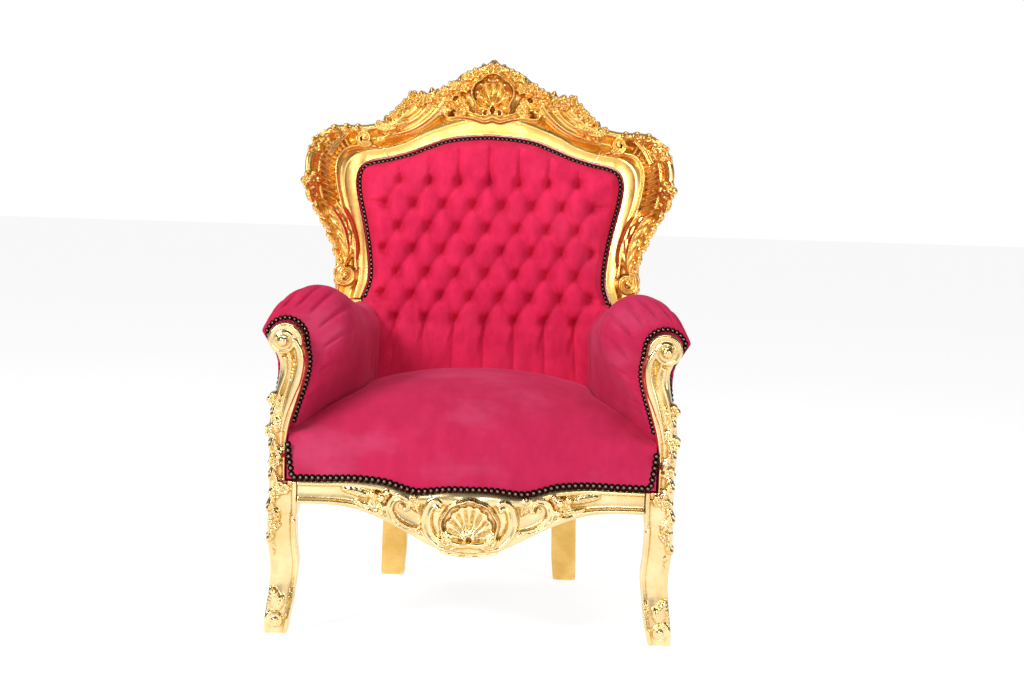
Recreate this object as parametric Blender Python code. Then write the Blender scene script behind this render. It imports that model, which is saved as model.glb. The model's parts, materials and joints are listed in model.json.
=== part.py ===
"""A baroque throne armchair: carved and gilded wood, button-backed velvet, rows of dome nails.

The chair faces -Y and stands on z = 0. While it is drawn, y is 0 at the middle of the front legs. Carving is
drawn on a flat board, as (x, z), where its depth is y: the back is then leant and its wings are turned forward.
"""
import math

import bmesh
import bpy
import numpy as np
from mathutils import Matrix, Vector

# Levels above the floor, in metres
RAIL_LOW = 0.272
RAIL_TOP = 0.318
SEAT_EDGE = 0.405
SEAT_CROWN = 0.516
SCROLL_HEIGHT = 0.598
ARM_TOP = 0.708
FRAME_LOW = 0.640
PAD_TOP = 1.024
CREST_TOP = 1.200

# Widths and depths
FOOT_SPREAD = 0.778
REAR_FOOT_SPREAD = 0.400
REAR_RAIL_SPREAD = 0.472
SEAT_DEPTH = 0.585
WING_SPAN = 0.836
PAD_SPAN = 0.618
ARM_SPAN = 0.872
ARM_SPAN_REAR = 0.690
SITTING_WIDTH = 0.526
SITTING_WIDTH_REAR = 0.470
BACK_LEAN = 0.20
WING_FLARE = 0.075
FRAME_THICK = 0.042
RAIL_THICK = 0.034
FRONT_BOW = 0.026
LEG_DEPTH = 0.064
POST_DEPTH = 0.050
REAR_LEG_DEPTH = 0.054
REAR_LEG_WIDTH = 0.057
REAR_FOOT_KICK = 0.045

# Upholstery
PAD_RISE = 0.044
PAD_MARGIN = 0.017
BUTTON_PITCH_X = 0.068
BUTTON_PITCH_Z = 0.052
BUTTON_ROWS = 7
BUTTON_COLUMNS = 7  # half pitches from the middle to the outermost button
TUFT_DEPTH = 0.018
LOWEST_BUTTON = 0.602
BASE_THICK = 0.012
PANEL_THICK = 0.008
NAIL_WIDTH = 0.0105
NAIL_RISE = 0.0042

# Carving
SHELL_RADIUS = 0.048
APRON_DROP = 0.142
APRON_SHELL_RADIUS = 0.050
ROSETTE_RADIUS = 0.024
FOOT_SCROLL_RADIUS = 0.013
ARM_SCROLL_RADIUS = 0.041

# Clearances
GAP = 0.0005
SOFT_GAP = 0.0012
WELD = 0.00001
FLAT_ANGLE = 3.0
FACES_KEPT = 0.68

HALF_FOOT = FOOT_SPREAD / 2
HALF_WING = WING_SPAN / 2
HALF_PAD = PAD_SPAN / 2
BLOCK_INNER = HALF_FOOT - 0.039
BLOCK_OUTER = HALF_FOOT + 0.019
LEG_FRONT = -0.56 * LEG_DEPTH
LEG_BACK = 0.44 * LEG_DEPTH
HIP = REAR_RAIL_SPREAD / 2
ARM_TOP_REAR = FRAME_LOW - 4 * SOFT_GAP
HIP_OUTER = HIP + REAR_LEG_WIDTH / 2
HIP_INNER = HIP - REAR_LEG_WIDTH / 2


def finish_of(name, colour, roughness, metallic):
    made = bpy.data.materials.new(name)
    made.use_nodes = True
    shader = made.node_tree.nodes["Principled BSDF"]
    shader.inputs["Base Color"].default_value = (*colour, 1)
    shader.inputs["Roughness"].default_value = roughness
    shader.inputs["Metallic"].default_value = metallic
    return made


for old in list(bpy.data.objects):
    bpy.data.objects.remove(old, do_unlink=True)
CHAIR = bpy.data.collections.new("throne")
bpy.context.scene.collection.children.link(CHAIR)
GOLD = finish_of("gilded wood", (0.83, 0.58, 0.20), 0.30, 0.9)
VELVET = finish_of("rose velvet", (0.78, 0.05, 0.16), 0.85, 0.0)
BRONZE = finish_of("dark bronze", (0.10, 0.05, 0.03), 0.35, 0.8)
LINING = finish_of("black lining", (0.03, 0.03, 0.03), 0.9, 0.0)


# Lines and bodies

def smooth_line(points, steps):
    """A smooth line through the points, with this many steps from each to the next."""
    p = np.asarray(points, float)
    p = np.vstack([2 * p[0] - p[1], p, 2 * p[-1] - p[-2]])
    line = []
    for i in range(1, len(p) - 2):
        before, here, after, beyond = p[i - 1], p[i], p[i + 1], p[i + 2]
        for t in np.arange(steps) / steps:
            bend = (2 * before - 5 * here + 4 * after - beyond) * t ** 2
            twist = (3 * here - before - 3 * after + beyond) * t ** 3
            line.append(0.5 * (2 * here + (after - before) * t + bend + twist))
    return np.array(line + [p[-2]])


def along(line, share):
    """The point this far along a line, where 0 is its first point and 1 its last."""
    where = np.clip(share, 0, 1) * (len(line) - 1)
    low = min(int(where), len(line) - 2)
    return line[low] + (line[low + 1] - line[low]) * (where - low)


def smoothstep(value):
    value = min(max(value, 0.0), 1.0)
    return value * value * (3 - 2 * value)


def tidy(mesh):
    """Welds what touches and turns the faces out."""
    shape = bmesh.new()
    shape.from_mesh(mesh)
    bmesh.ops.remove_doubles(shape, verts=shape.verts, dist=WELD)
    bmesh.ops.recalc_face_normals(shape, faces=shape.faces)
    shape.to_mesh(mesh)
    shape.free()
    return mesh


def mesh_from(shape):
    bmesh.ops.recalc_face_normals(shape, faces=shape.faces)
    mesh = bpy.data.meshes.new("shape")
    shape.to_mesh(mesh)
    shape.free()
    return mesh


def mesh_from_curve(curve):
    """The closed mesh of a curve, with its caps welded on."""
    guide = bpy.data.objects.new("guide", curve)
    bpy.context.scene.collection.objects.link(guide)
    mesh = bpy.data.meshes.new_from_object(guide.evaluated_get(bpy.context.evaluated_depsgraph_get()))
    bpy.data.objects.remove(guide)
    bpy.data.curves.remove(curve)
    return tidy(mesh)


def warp(mesh, move):
    for vertex in mesh.vertices:
        vertex.co = move(vertex.co)
    return mesh


def loft(rings):
    """A closed body through sections of as many points each. Its ends are flat faces."""
    shape = bmesh.new()
    layers = [[shape.verts.new(p) for p in ring] for ring in rings]
    sides = len(layers[0])
    for ring, after in zip(layers, layers[1:]):
        for i in range(sides):
            j = (i + 1) % sides
            shape.faces.new((ring[i], ring[j], after[j], after[i]))
    shape.faces.new(layers[0])
    shape.faces.new(layers[-1])
    bmesh.ops.remove_doubles(shape, verts=shape.verts, dist=WELD)
    return mesh_from(shape)


def plate(outline, thickness):
    """A flat slab from z = 0 up, with this outline of (x, y) points."""
    curve = bpy.data.curves.new("plate", "CURVE")
    curve.dimensions = "2D"
    curve.fill_mode = "BOTH"
    curve.extrude = thickness / 2
    spline = curve.splines.new("POLY")
    spline.points.add(len(outline) - 1)
    for point, (x, y) in zip(spline.points, outline):
        point.co = (x, y, 0, 1)
    spline.use_cyclic_u = True
    return warp(mesh_from_curve(curve), lambda p: p + Vector((0, 0, thickness / 2)))


def moulded(inner, outer, profile, front, back):
    """A bar between two lines of (x, z) points. Its profile is shares of its width and of its depth."""
    rings = []
    for low, high, near, far in zip(inner, outer, front, back):
        rings.append([(low[0] + a * (high[0] - low[0]), near + b * (far - near),
                       low[1] + a * (high[1] - low[1])) for a, b in profile])
    return loft(rings)


def beside(path, halves):
    """The two lines that lie half a width to each side of a path of (x, z) points."""
    run = np.gradient(path, axis=0)
    run /= np.linalg.norm(run, axis=1)[:, None]
    across = np.stack([run[:, 1], -run[:, 0]], 1) * np.asarray(halves, float)[:, None]
    return path - across, path + across


# Carved ornaments, on the board

def strand(path, half, rise, face=0.0, sunk=0.010, corners=4):
    """A carved strand of changing width along a path of (x, z) points, let into the wood behind it."""
    path = np.asarray(path, float)
    half = np.broadcast_to(half, len(path))
    rise = np.broadcast_to(rise, len(path))
    curve = bpy.data.curves.new("strand", "CURVE")
    curve.dimensions = "3D"
    curve.twist_mode = "Z_UP"
    curve.fill_mode = "FULL"
    curve.use_fill_caps = True
    curve.bevel_depth = 1.0
    curve.bevel_resolution = corners // 2 - 2
    spline = curve.splines.new("POLY")
    spline.points.add(len(path) - 1)
    for point, (x, z), radius in zip(spline.points, path, half):
        point.co = (x, z, 0, 1)
        point.radius = radius
    mesh = mesh_from_curve(curve)

    def on_board(p):
        near = np.argmin((path[:, 0] - p.x) ** 2 + (path[:, 1] - p.y) ** 2)
        out = p.z / half[near]
        depth = face - rise[near] * out if out > 0.05 else face + 0.2 * sunk
        if out < -0.05:
            depth = face + sunk
        return Vector((p.x, depth, p.y))

    return warp(mesh, on_board)


def volute(centre, radius, turns, half, rise, start=90, way=1, core=0.28, steps=8, **more):
    """A strand that winds in from its outer radius to its core."""
    share = np.linspace(0, 1, int(steps * turns) + 1)
    angle = np.radians(start) + way * 2 * math.pi * turns * share
    reach = radius * (1 - (1 - core) * share)
    path = np.stack([centre[0] + reach * np.cos(angle), centre[1] + reach * np.sin(angle)], 1)
    return strand(path, half * (1 - 0.4 * share), rise, **more)


def leaf(root, tip, width, rise, bend=0.0, lift=0.5, **more):
    """A leaf with a raised rib. It bends sideways by a share of its length, and its tip lifts off the wood."""
    root, tip = np.array(root, float), np.array(tip, float)
    run = tip - root
    side = np.array([run[1], -run[0]])
    share = np.array([0, 0.25, 0.55, 0.82, 1])
    path = root + share[:, None] * run + (4 * bend * share * (1 - share))[:, None] * side
    half = width / 2 * np.array([0.30, 0.75, 1, 0.68, 0.10])
    return strand(path, half, rise * np.array([0.4, 0.8, 1, 0.9, lift]), **more)


def flower(centre, radius, rise, petals=5, face=0.0, sunk=0.010, turn=0.0):
    """A rosette: a ring of petals that hollows towards its heart."""
    shape = bmesh.new()
    depth = rise + sunk
    upright = Matrix.Rotation(math.radians(90), 4, "X") @ Matrix.Rotation(turn, 4, "Z")
    bmesh.ops.create_cone(shape, cap_ends=True, segments=2 * petals, radius1=radius, radius2=radius, depth=depth,
                          matrix=Matrix.Translation((centre[0], face + sunk - depth / 2, centre[1])) @ upright)
    shape.faces.ensure_lookup_table()
    front = min(shape.faces, key=lambda f: f.calc_center_median().y if len(f.verts) > 4 else 1)
    middle = Vector((centre[0], 0, centre[1]))
    for number, vertex in enumerate(front.verts):
        if number % 2:
            for end in (vertex, *[e.other_vert(vertex) for e in vertex.link_edges if e not in front.edges]):
                end.co.x = middle.x + 0.84 * (end.co.x - middle.x)
                end.co.z = middle.z + 0.84 * (end.co.z - middle.z)
            vertex.co.y += 0.35 * rise
    heart = bmesh.ops.poke(shape, faces=[front])["verts"][0]
    heart.co.y = face - 0.55 * rise
    return mesh_from(shape)


def berry(centre, radius, face=0.0):
    """A ball that is let into the wood by a little over half."""
    shape = bmesh.new()
    bmesh.ops.create_icosphere(shape, subdivisions=1, radius=radius,
                               matrix=Matrix.Translation((centre[0], face - 0.35 * radius, centre[1])))
    return mesh_from(shape)


def shell(hinge, radius, rise, ribs, spread, face=0.0, sunk=0.010, tall=1.0):
    """A scallop, whose ribs fan out and up from its hinge to a lifted, scalloped rim."""
    shape = bmesh.new()
    bmesh.ops.create_grid(shape, x_segments=2 * ribs, y_segments=3, size=1)
    for vertex in shape.verts:
        across = (vertex.co.x + 1) / 2
        out = (vertex.co.y + 1) / 2
        ridge = round(across * 2 * ribs) % 2
        angle = math.radians(90 + spread / 2 - spread * across)
        reach = radius * (0.14 + 0.86 * out) * (1.0 if ridge else 1 - 0.10 * out)
        hollow = 0.9 - 1.5 * out * (1 - out)
        height = rise * (hollow + (0.22 if ridge else -0.12) * math.sin(math.pi * min(out * 1.2, 1)))
        vertex.co = (hinge[0] + reach * math.cos(angle), face - height, hinge[1] + tall * reach * math.sin(angle))
    cover = bmesh.ops.extrude_face_region(shape, geom=list(shape.faces))
    for vertex in cover["geom"]:
        if isinstance(vertex, bmesh.types.BMVert):
            vertex.co.y = face + sunk
    return mesh_from(shape)


def mirrored(mesh):
    """The same shape on the other side of the chair."""
    copy = mesh.copy()
    for vertex in copy.vertices:
        vertex.co.x = -vertex.co.x
    copy.flip_normals()
    return copy


def both(meshes):
    return [side for mesh in meshes for side in (mesh, mirrored(mesh))]


def on_side(side, meshes):
    """The meshes, drawn on the right, for the side that is asked for."""
    return meshes if side > 0 else [mirrored(mesh) for mesh in meshes]


def side_name(name, side):
    return name + ("_right" if side > 0 else "_left")


def place(name, mesh, material):
    made = bpy.data.objects.new(name, mesh)
    CHAIR.objects.link(made)
    mesh.materials.clear()
    mesh.materials.append(material)
    return made


def outer_skin(mesh):
    """Keeps the largest closed skin, because the carving can shut off a pocket of air behind it."""
    shape = bmesh.new()
    shape.from_mesh(mesh)
    bmesh.ops.remove_doubles(shape, verts=shape.verts, dist=WELD)
    bmesh.ops.dissolve_limit(shape, angle_limit=math.radians(FLAT_ANGLE), verts=shape.verts, edges=shape.edges)
    bmesh.ops.dissolve_degenerate(shape, edges=shape.edges, dist=WELD)
    bmesh.ops.triangulate(shape, faces=shape.faces)
    waiting, skins = set(shape.faces), []
    while waiting:
        skin, edge_of_skin = set(), [waiting.pop()]
        while edge_of_skin:
            face = edge_of_skin.pop()
            skin.add(face)
            for edge in face.edges:
                for other in edge.link_faces:
                    if other in waiting:
                        waiting.remove(other)
                        edge_of_skin.append(other)
        skins.append(skin)
    keep = max(skins, key=lambda skin: sum(face.calc_area() for face in skin))
    bmesh.ops.delete(shape, geom=[face for face in shape.faces if face not in keep], context="FACES")
    shape.to_mesh(mesh)
    shape.free()
    return mesh


def fuse(name, body, carving):
    """One carved piece: a body with its carving joined on by a Boolean union."""
    made = place(name, body, GOLD)
    group = bpy.data.collections.new(name + "_carving")
    bpy.context.scene.collection.children.link(group)
    for number, mesh in enumerate(carving):
        group.objects.link(bpy.data.objects.new(f"{name}_carving_{number}", mesh))
    join = made.modifiers.new("carving", "BOOLEAN")
    join.operation = "UNION"
    join.operand_type = "COLLECTION"
    join.collection = group
    mesh = bpy.data.meshes.new_from_object(made.evaluated_get(bpy.context.evaluated_depsgraph_get()))
    made.modifiers.remove(join)
    for ornament in list(group.objects):
        bpy.data.objects.remove(ornament)
    bpy.data.collections.remove(group)
    made.data = outer_skin(mesh)
    fewer = made.modifiers.new("fewer", "DECIMATE")
    fewer.ratio = FACES_KEPT
    return made


# The back: two outlines, as shares of the half width of the pad or the wings, and of the height from the
# frame's foot to the top of the pad or of the crest. Each pair of points is a station of the moulding.

def back_face(z):
    """How far back the face of the back's frame lies at this height."""
    return SEAT_DEPTH - 0.025 + BACK_LEAN * (z - SEAT_CROWN)


def flare(x, z):
    """How far forward the wings turn."""
    out = (abs(x) - 0.92 * HALF_PAD) / (HALF_WING - 0.92 * HALF_PAD)
    return WING_FLARE * min(max(out, 0), 1) ** 1.5 * smoothstep((z - FRAME_LOW) / (0.36 * (PAD_TOP - FRAME_LOW)))


def settle_on_back(mesh):
    """Takes a shape from the board to the leaning back."""
    return warp(mesh, lambda p: Vector((p.x, p.y + back_face(p.z) - flare(p.x, p.z), p.z)))


PAD_EDGE = ((0.935, 0.00), (0.886, 0.13), (0.905, 0.31), (0.945, 0.47), (0.985, 0.605), (1.0, 0.715),
            (0.972, 0.790), (0.892, 0.828), (0.764, 0.850), (0.615, 0.884), (0.47, 0.930), (0.325, 0.972),
            (0.165, 0.992), (0.0, 1.0))
FRAME_EDGE = ((0.835, 0.00), (0.835, 0.105), (0.842, 0.195), (0.900, 0.300), (0.965, 0.395), (1.0, 0.515),
              (0.978, 0.625), (0.880, 0.700), (0.690, 0.712), (0.545, 0.745), (0.440, 0.815), (0.290, 0.868),
              (0.135, 0.945), (0.0, 0.985))
CORNER_STATION = 6.0
JOINT_STATION = 8.0
LAST = len(PAD_EDGE) - 1
LINE_STEPS = 2
PAD_LINE = smooth_line([(HALF_PAD * x, FRAME_LOW + (PAD_TOP - FRAME_LOW) * z) for x, z in PAD_EDGE], LINE_STEPS)
FRAME_LINE = smooth_line([(HALF_WING * x, FRAME_LOW + (CREST_TOP - FRAME_LOW) * z) for x, z in FRAME_EDGE],
                         LINE_STEPS)

# From the pad's edge to the outer edge and round the back: a flat, a bead, a cove and a rolled rim
FRAME_PROFILE = ((0.0, -0.003), (0.22, -0.005), (0.28, -0.012), (0.36, -0.010), (0.44, 0.006), (0.64, 0.004),
                 (0.76, -0.014), (0.90, -0.020), (0.99, -0.008), (1.0, 0.012))


def frame_point(station, across):
    """A place on the frame: how far along its stations, and how far from the pad's edge to the outer edge."""
    return along(PAD_LINE, station / LAST) * (1 - across) + along(FRAME_LINE, station / LAST) * across


def frame_ring(station, half):
    """The frame's section at a station, on the right where half is 1 and on the left where it is -1."""
    profile = (*FRAME_PROFILE, (0.95, 0.85 * FRAME_THICK), (0.0, FRAME_THICK))
    return [(half * frame_point(station, a)[0], y, frame_point(station, a)[1]) for a, y in profile]


def frame_leaf(t0, a0, t1, a1, width, rise, **more):
    return leaf(frame_point(t0, a0), frame_point(t1, a1), width, rise, **more)


def joint_half_gap():
    """Half the gap between the crest and a stile, as a share of a station."""
    step = frame_point(JOINT_STATION + 0.5, 0) - frame_point(JOINT_STATION - 0.5, 0)
    return 0.8 * GAP / np.linalg.norm(step)


def crest_rail():
    """The top of the back: a moulded bar that carries a shell, flowers, and a fan of leaves to each side."""
    stations = np.linspace(JOINT_STATION, LAST, int(LINE_STEPS * (LAST - JOINT_STATION)) + 1)
    stations[0] += joint_half_gap()
    body = loft([frame_ring(t, 1) for t in stations] + [frame_ring(t, -1) for t in stations[::-1][1:]])
    hinge = (0.0, PAD_TOP + 0.36 * (CREST_TOP - PAD_TOP))
    rim = np.radians(np.linspace(-35, 215, 15))
    scallop = SHELL_RADIUS * (1.06 + 0.05 * np.cos(5 * (rim - math.pi / 2)))
    ring = np.stack([hinge[0] + scallop * np.cos(rim), hinge[1] + 0.010 + scallop * np.sin(rim)], 1)
    middle = [shell((0, hinge[1] - 0.004), SHELL_RADIUS, 0.016, 7, 200, face=-0.004),
              strand(ring, 0.0055, 0.020, face=-0.002),
              leaf((0, CREST_TOP - 0.055), (0, CREST_TOP), 0.036, 0.022, lift=0.9)]
    right = []
    # The gable's edge is a row of flowers, which get smaller down the slope
    for number, t in enumerate(np.linspace(LAST - 0.38, LAST - 1.65, 4)):
        right.append(flower(frame_point(t, 0.91), 0.024 - 0.0015 * number, 0.022, face=-0.004, turn=number))
    # Two scrolls under the shell, and one at each end of the gable
    for x, size in ((0.30 * SHELL_RADIUS, 0.012), (1.65 * SHELL_RADIUS, 0.014)):
        right.append(volute((x, hinge[1] - 0.014), size, 1.0, 0.0045, 0.016, start=-90, face=-0.004))
    right.append(flower((1.35 * SHELL_RADIUS, hinge[1] + 0.012), 0.015, 0.018, face=-0.004))
    # The fan at the shoulder: its leaves start at the moulding and end proud of the outline
    for share in np.linspace(0, 1, 4):
        right.append(frame_leaf(8.9 + 1.2 * share, 0.42, 9.35 + 1.75 * share, 1.03, 0.036, 0.024, bend=-0.10,
                                lift=0.9))
    right.append(flower(frame_point(9.62, 1.0), 0.018, 0.020, face=-0.006))
    right.append(frame_leaf(9.2, 0.62, 8.3, 0.72, 0.026, 0.018, bend=0.12))
    carving = middle + both(right)
    for mesh in (body, *carving):
        settle_on_back(mesh)
    return fuse("crest_rail", body, carving)


def stile_path():
    """The line of a back leg and its stile, as (x, z) from the floor up to the frame."""
    foot = REAR_FOOT_SPREAD / 2
    shoulder = frame_point(0.8, 0.42)[0]
    points = [(foot, 0), (foot - 0.004, 0.33 * RAIL_LOW), (foot - 0.002, 0.66 * RAIL_LOW), (HIP - 0.006, RAIL_LOW),
              (HIP, RAIL_TOP), (0.5 * (HIP + shoulder), 0.5 * (RAIL_TOP + FRAME_LOW)), (shoulder, FRAME_LOW),
              (shoulder + 0.002, FRAME_LOW + 0.06)]
    return np.array(points)


def stile_face(z):
    """The front of the back leg at this height: it kicks back at the foot and leans back above the rail."""
    if z >= RAIL_LOW:
        return back_face(max(z, RAIL_TOP)) + 0.004
    return back_face(RAIL_TOP) + 0.004 + REAR_FOOT_KICK * smoothstep(1 - z / RAIL_LOW)


def stile_half(z):
    return np.interp(z, (0, 0.2 * RAIL_LOW, RAIL_TOP, FRAME_LOW), REAR_LEG_WIDTH / 2 * np.array([0.92, 1, 1, 0.75]))


SQUARE_BAR = ((0, 0.1), (0.1, 0), (0.9, 0), (1, 0.1), (1, 0.9), (0.9, 1), (0.1, 1), (0, 0.9))


def back_stile(side):
    """One back leg with its stile and its carved wing."""
    path = stile_path()
    half = stile_half(path[:, 1])
    front = np.array([stile_face(z) for z in path[:, 1]])
    deep = np.interp(path[:, 1], (0, RAIL_TOP, FRAME_LOW), (REAR_LEG_DEPTH, REAR_LEG_DEPTH, 0.8 * FRAME_THICK))
    across = np.stack([half, 0 * half], 1)
    post = moulded(path - across, path + across, SQUARE_BAR, front, front + deep)
    stations = np.linspace(0, JOINT_STATION, int(LINE_STEPS * JOINT_STATION) + 1)
    stations[-1] -= joint_half_gap()
    wing = loft([frame_ring(t, 1) for t in stations])
    carving = []
    # The scroll at the wing's foot
    heart = frame_point(0.95, 0.66)
    carving.append(volute(heart, 0.023, 1.25, 0.008, 0.026, start=60, way=-1, sunk=0.020))
    carving.append(berry(heart, 0.010, face=-0.012))
    # Leaves run up the stile and turn out along the wing
    carving.append(frame_leaf(1.5, 0.60, 3.1, 0.60, 0.034, 0.024, bend=0.10, face=0.002))
    carving.append(frame_leaf(2.0, 0.92, 3.3, 1.0, 0.024, 0.020, bend=-0.08, face=-0.002))
    carving.append(frame_leaf(3.0, 0.64, 4.15, 0.88, 0.028, 0.020, bend=0.08, face=-0.002))
    # The rim carries a rosette at its middle and a spray of flowers at its shoulder
    carving.append(flower(frame_point(4.75, 0.88), ROSETTE_RADIUS, 0.024, petals=6, face=-0.010))
    carving.append(flower(frame_point(5.75, 0.90), 0.020, 0.022, face=-0.010))
    carving.append(flower(frame_point(6.25, 0.86), 0.022, 0.022, face=-0.010, turn=1))
    carving.append(frame_leaf(5.02, 0.90, 5.62, 0.90, 0.026, 0.018, face=-0.012))
    carving.append(frame_leaf(6.35, 0.88, 7.05, 0.88, 0.026, 0.020, face=-0.010))
    # Gadroons fill the hollow of the wing
    for t in np.linspace(4.0, 6.6, 7):
        carving.append(frame_leaf(t, 0.46, t + 0.12, 0.72, 0.016, 0.012, face=0.003))
    # The volute that ends the wing beside the crest
    carving.append(volute(frame_point(7.35, 0.74), 0.021, 1.25, 0.007, 0.024, start=200, sunk=0.020))
    for mesh in (wing, *carving):
        settle_on_back(mesh)
    body, *carving = on_side(side, [post, wing, *carving])
    return fuse(side_name("back_stile", side), body, carving)


# The front legs. A station is the height, the inner and the outer edge from the foot's middle, the front and
# the back; the last two are shares of the leg's depth.

LEG_STATIONS = ((0.000, -0.021, 0.023, -0.47, 0.34), (0.030, -0.028, 0.023, -0.55, 0.28),
                (0.062, -0.034, 0.019, -0.47, 0.20), (0.100, -0.038, 0.015, -0.36, 0.23),
                (0.140, -0.042, 0.014, -0.36, 0.33), (0.185, -0.038, 0.018, -0.47, 0.42),
                (0.235, -0.036, 0.020, -0.56, 0.44))
LEG_PROFILE = ((0, 0.10), (0.05, 0), (0.17, 0), (0.24, 0.09), (0.76, 0.05), (0.83, 0), (0.94, 0), (1, 0.10),
               (1, 0.9), (0.9, 1), (0.1, 1), (0, 0.9))
# The arm post's middle line from the foot's middle, its share of the climb to the scroll, and its half width
POST_STATIONS = ((0.002, 0.00, 0.0165), (0.004, 0.26, 0.0195), (0.000, 0.42, 0.0225), (-0.011, 0.58, 0.0245),
                 (-0.021, 0.72, 0.0265), (-0.0245, 0.85, 0.0285), (-0.0130, 0.98, 0.0300))
POST_PROFILE = ((0, 0.35), (0.07, 0.02), (0.18, 0.0), (0.28, 0.16), (0.46, 0.16), (0.58, 0.0), (0.70, 0.10),
                (0.88, 0.10), (1, 0.40), (1, 0.9), (0.9, 1), (0.1, 1), (0, 0.9))
POST_BACK = 0.020
POST_FRONT = POST_BACK - POST_DEPTH
SCROLL_HEART = (HALF_FOOT - 0.005, SCROLL_HEIGHT)


def post_line():
    """The arm post's middle line and half widths, from the knee up to its scroll."""
    climb = SCROLL_HEIGHT - RAIL_TOP
    return smooth_line([(HALF_FOOT + x, RAIL_TOP + climb * z, half) for x, z, half in POST_STATIONS], 2)


def front_leg(side):
    """One front leg with its knee block, the arm post that rises from it and the scroll at the top."""
    lines = np.array(LEG_STATIONS)
    knee = [(z, BLOCK_INNER - HALF_FOOT, BLOCK_OUTER - HALF_FOOT, -0.56, 0.44) for z in (RAIL_LOW - 0.02, RAIL_TOP)]
    lines = np.vstack([lines, knee])
    inner = np.stack([HALF_FOOT + lines[:, 1], lines[:, 0]], 1)
    outer = np.stack([HALF_FOOT + lines[:, 2], lines[:, 0]], 1)
    body = moulded(inner, outer, LEG_PROFILE, LEG_DEPTH * lines[:, 3], LEG_DEPTH * lines[:, 4])

    post = post_line()
    post[0, 1] -= 0.02
    inner, outer = beside(post[:, :2], post[:, 2])
    count = len(post)
    carving = [moulded(inner, outer, POST_PROFILE, np.full(count, POST_FRONT), np.full(count, POST_BACK))]
    deep = POST_DEPTH - 0.006
    carving.append(volute(SCROLL_HEART, ARM_SCROLL_RADIUS - 0.012, 1.15, 0.012, 0.006, start=200, way=-1,
                          steps=11, face=POST_FRONT + 0.004, sunk=deep))
    carving.append(flower(SCROLL_HEART, 0.026, 0.001, petals=8, face=POST_FRONT + 0.006, sunk=deep - 0.002))
    carving.append(berry(SCROLL_HEART, 0.013, face=POST_FRONT - 0.002))
    # The garland hangs down the outer front corner, from the post over the knee
    climb = SCROLL_HEIGHT - RAIL_TOP
    for number, share in enumerate(np.linspace(0.50, -0.24, 7)):
        size = 0.019 - 0.0007 * number
        sway = 0.010 + 0.006 * math.cos(1.6 * number)
        centre = (HALF_FOOT + sway, RAIL_TOP + climb * share)
        if number % 2:
            carving.append(flower(centre, 0.82 * size, 0.016, face=LEG_FRONT + 0.004, sunk=0.014, turn=number))
        else:
            carving.append(leaf((centre[0] - 0.002, centre[1] + size), (centre[0] + 0.002, centre[1] - size),
                                1.2 * size, 0.014, face=LEG_FRONT + 0.004, sunk=0.014))
    carving.append(leaf((HALF_FOOT + 0.010, RAIL_LOW - 0.035), (HALF_FOOT + 0.010, RAIL_LOW - 0.095), 0.020, 0.010,
                        face=LEG_FRONT + 0.008, sunk=0.014))
    # The foot: a small leaf over a scroll with a ball in it
    low = (HALF_FOOT + 0.001, 2.3 * FOOT_SCROLL_RADIUS)
    carving.append(volute(low, FOOT_SCROLL_RADIUS, 1.0, 0.0045, 0.008, start=60, way=-1, face=LEG_FRONT + 0.004))
    carving.append(berry(low, 0.008, face=LEG_FRONT + 0.002))
    carving.append(leaf((HALF_FOOT + 0.006, 0.046), (HALF_FOOT + 0.004, 0.096), 0.024, 0.008,
                        face=LEG_FRONT + 0.008, sunk=0.012))
    body, *carving = on_side(side, [body, *carving])
    return fuse(side_name("front_leg", side), body, carving)


# The front rail's lower edge: shares of its half length, and of the apron's drop from the top of the rail
APRON_EDGE = ((1.0, 0.34), (0.84, 0.34), (0.70, 0.37), (0.57, 0.46), (0.45, 0.58), (0.35, 0.70), (0.22, 0.86),
              (0.10, 0.97), (0.0, 1.0))
APRON_PROFILE = ((0.0, 0.10), (0.0, 0.0), (0.10, -0.22), (0.20, -0.22), (0.28, -0.02), (0.74, -0.02),
                 (0.82, -0.20), (0.94, -0.20), (1.0, 0.0), (1.0, 1.0), (0.0, 1.0))
APRON_FACE = -0.036


def bow(x):
    """How far the front rail comes forward at this place along it."""
    return FRONT_BOW * 0.5 * (1 + math.cos(math.pi * min(abs(x) / (0.72 * BLOCK_INNER), 1)))


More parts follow.
